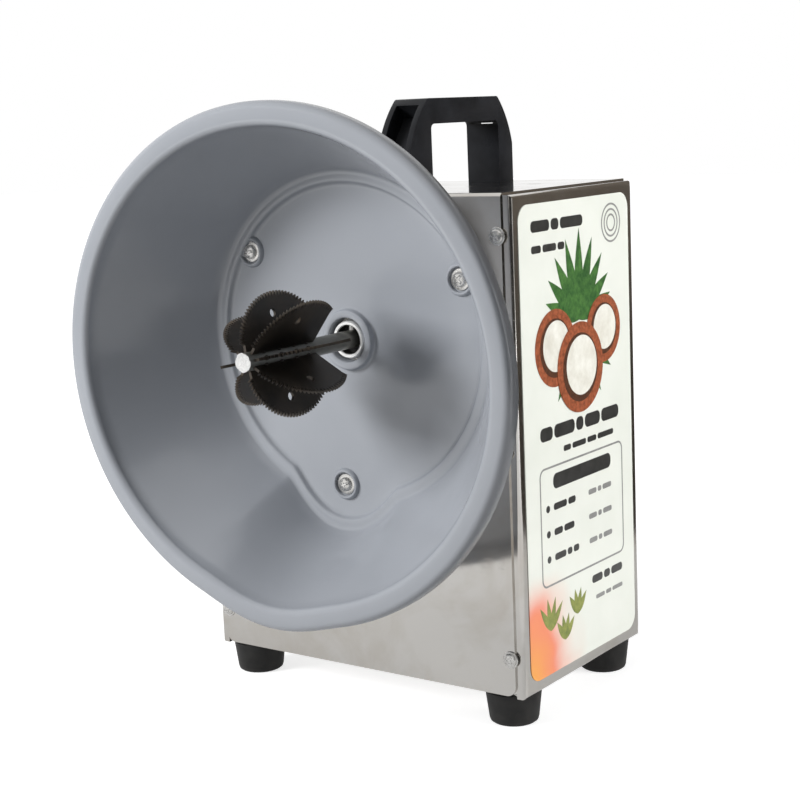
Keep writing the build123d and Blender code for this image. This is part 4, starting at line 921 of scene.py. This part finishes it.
floor = flat_board("floor", 2 * FLOOR_HALF, 2 * FLOOR_HALF, Matrix())
pale, nodes, links, bsdf = new_material("pale_floor", rough=0.75)
place = texture_place(nodes, links)
coloured(nodes, links, bsdf, cloud(nodes, links, place, 8.0), (0.56, 0.56, 0.56), (0.59, 0.59, 0.59))
from_middle = nodes.new("ShaderNodeVectorMath")
from_middle.operation = "LENGTH"
links.new(place, from_middle.inputs[0])
outward = stretch(nodes, links, from_middle.outputs["Value"], 0.15, 0.8, NEAR_LIFT, 1.0)
seen = nodes.new("ShaderNodeLightPath")
lift = nodes.new("ShaderNodeEmission")
shown = together(nodes, links, "MAXIMUM", seen.outputs["Is Glossy Ray"], seen.outputs["Is Transmission Ray"])
shown = together(nodes, links, "MULTIPLY", shown, MIRRORED_LIFT)
shown = together(nodes, links, "MAXIMUM", shown, seen.outputs["Is Camera Ray"])
links.new(together(nodes, links, "MULTIPLY", outward, shown), lift.inputs["Strength"])
both = nodes.new("ShaderNodeAddShader")
links.new(bsdf.outputs["BSDF"], both.inputs[0])
links.new(lift.outputs["Emission"], both.inputs[1])
links.new(both.outputs["Shader"], nodes["Material Output"].inputs["Surface"])
floor.data.materials.append(pale)

# ---- light and surroundings ----
# A soft key lamp stands at the left front, about 22 degrees up, with a weak one overhead and
# one at the right, a little behind. Reflections show no lamp, but they do show a dark board
# and a brown one. A flag keeps the side lamp off the outside of the bowl.


def area_light(name, place, target, size, power):
    """A square lamp turned to its target. Reflections don't show it."""
    data = bpy.data.lights.new(name, "AREA")
    data.shape = "RECTANGLE"
    data.size = size
    data.size_y = size
    data.energy = power
    lamp = bpy.data.objects.new(name, data)
    bpy.context.collection.objects.link(lamp)
    lamp.location = place
    lamp.rotation_mode = "QUATERNION"
    lamp.rotation_quaternion = (Vector(target) - Vector(place)).to_track_quat("-Z", "Y")
    lamp.visible_glossy = False


area_light("key", (-0.94, -1.24, 0.84), (0, 0, 0.2), 0.6, 32)
area_light("top", (0.0, -0.5, 1.6), (0, 0, 0.1), 1.2, 3.5)
area_light("side", (1.45, 0.45, 0.45), (0.1, 0, 0.15), 0.9, 26)


def card(name, place, facing, width, height, shade, shown=True, shades=False):
    """A board that only reflections show, or that only keeps a lamp off."""
    turned_round = Vector(facing).to_track_quat("Z", "Y").to_matrix().to_4x4()
    board = flat_board(name, width, height, Matrix.Translation(place) @ turned_round)
    mat, nodes, links, bsdf = new_material(name + "_cloth", rough=0.9)
    weave = cloud(nodes, links, texture_place(nodes, links), 5.0)
    coloured(nodes, links, bsdf, weave, shade, [c * 1.2 for c in shade])
    board.data.materials.append(mat)
    board.visible_camera = False
    board.visible_diffuse = False
    board.visible_transmission = False
    board.visible_glossy = shown
    board.visible_shadow = shades


card("dark_card", (0.95, -0.62, 0.50), (-0.8, 0.5, -0.1), 1.3, 1.3, (0.03, 0.03, 0.03))
card("brown_card", (0.28, 0.35, 0.28), (-0.5, -0.87, 0), 0.9, 0.56, (0.16, 0.14, 0.12))
card("side_flag", (0.175, -0.095, 0.21), (1, 0, 0), 0.13, 0.42, (0.03, 0.03, 0.03), shown=False,
     shades=True)

DIM_SKY = 0.07
world = bpy.data.worlds.new("studio")
bpy.context.scene.world = world
world.use_nodes = True
w_nodes = world.node_tree.nodes
w_links = world.node_tree.links
sky = w_nodes["Background"]
sky.inputs["Color"].default_value = (1, 1, 1, 1)
path = w_nodes.new("ShaderNodeLightPath")
direct = together(w_nodes, w_links, "MAXIMUM", path.outputs["Is Camera Ray"], path.outputs["Is Glossy Ray"])
direct = together(w_nodes, w_links, "MAXIMUM", direct, path.outputs["Is Transmission Ray"])
w_links.new(stretch(w_nodes, w_links, direct, 0.0, 1.0, DIM_SKY, 1.0), sky.inputs["Strength"])
bpy.context.scene.view_settings.view_transform = "Standard"
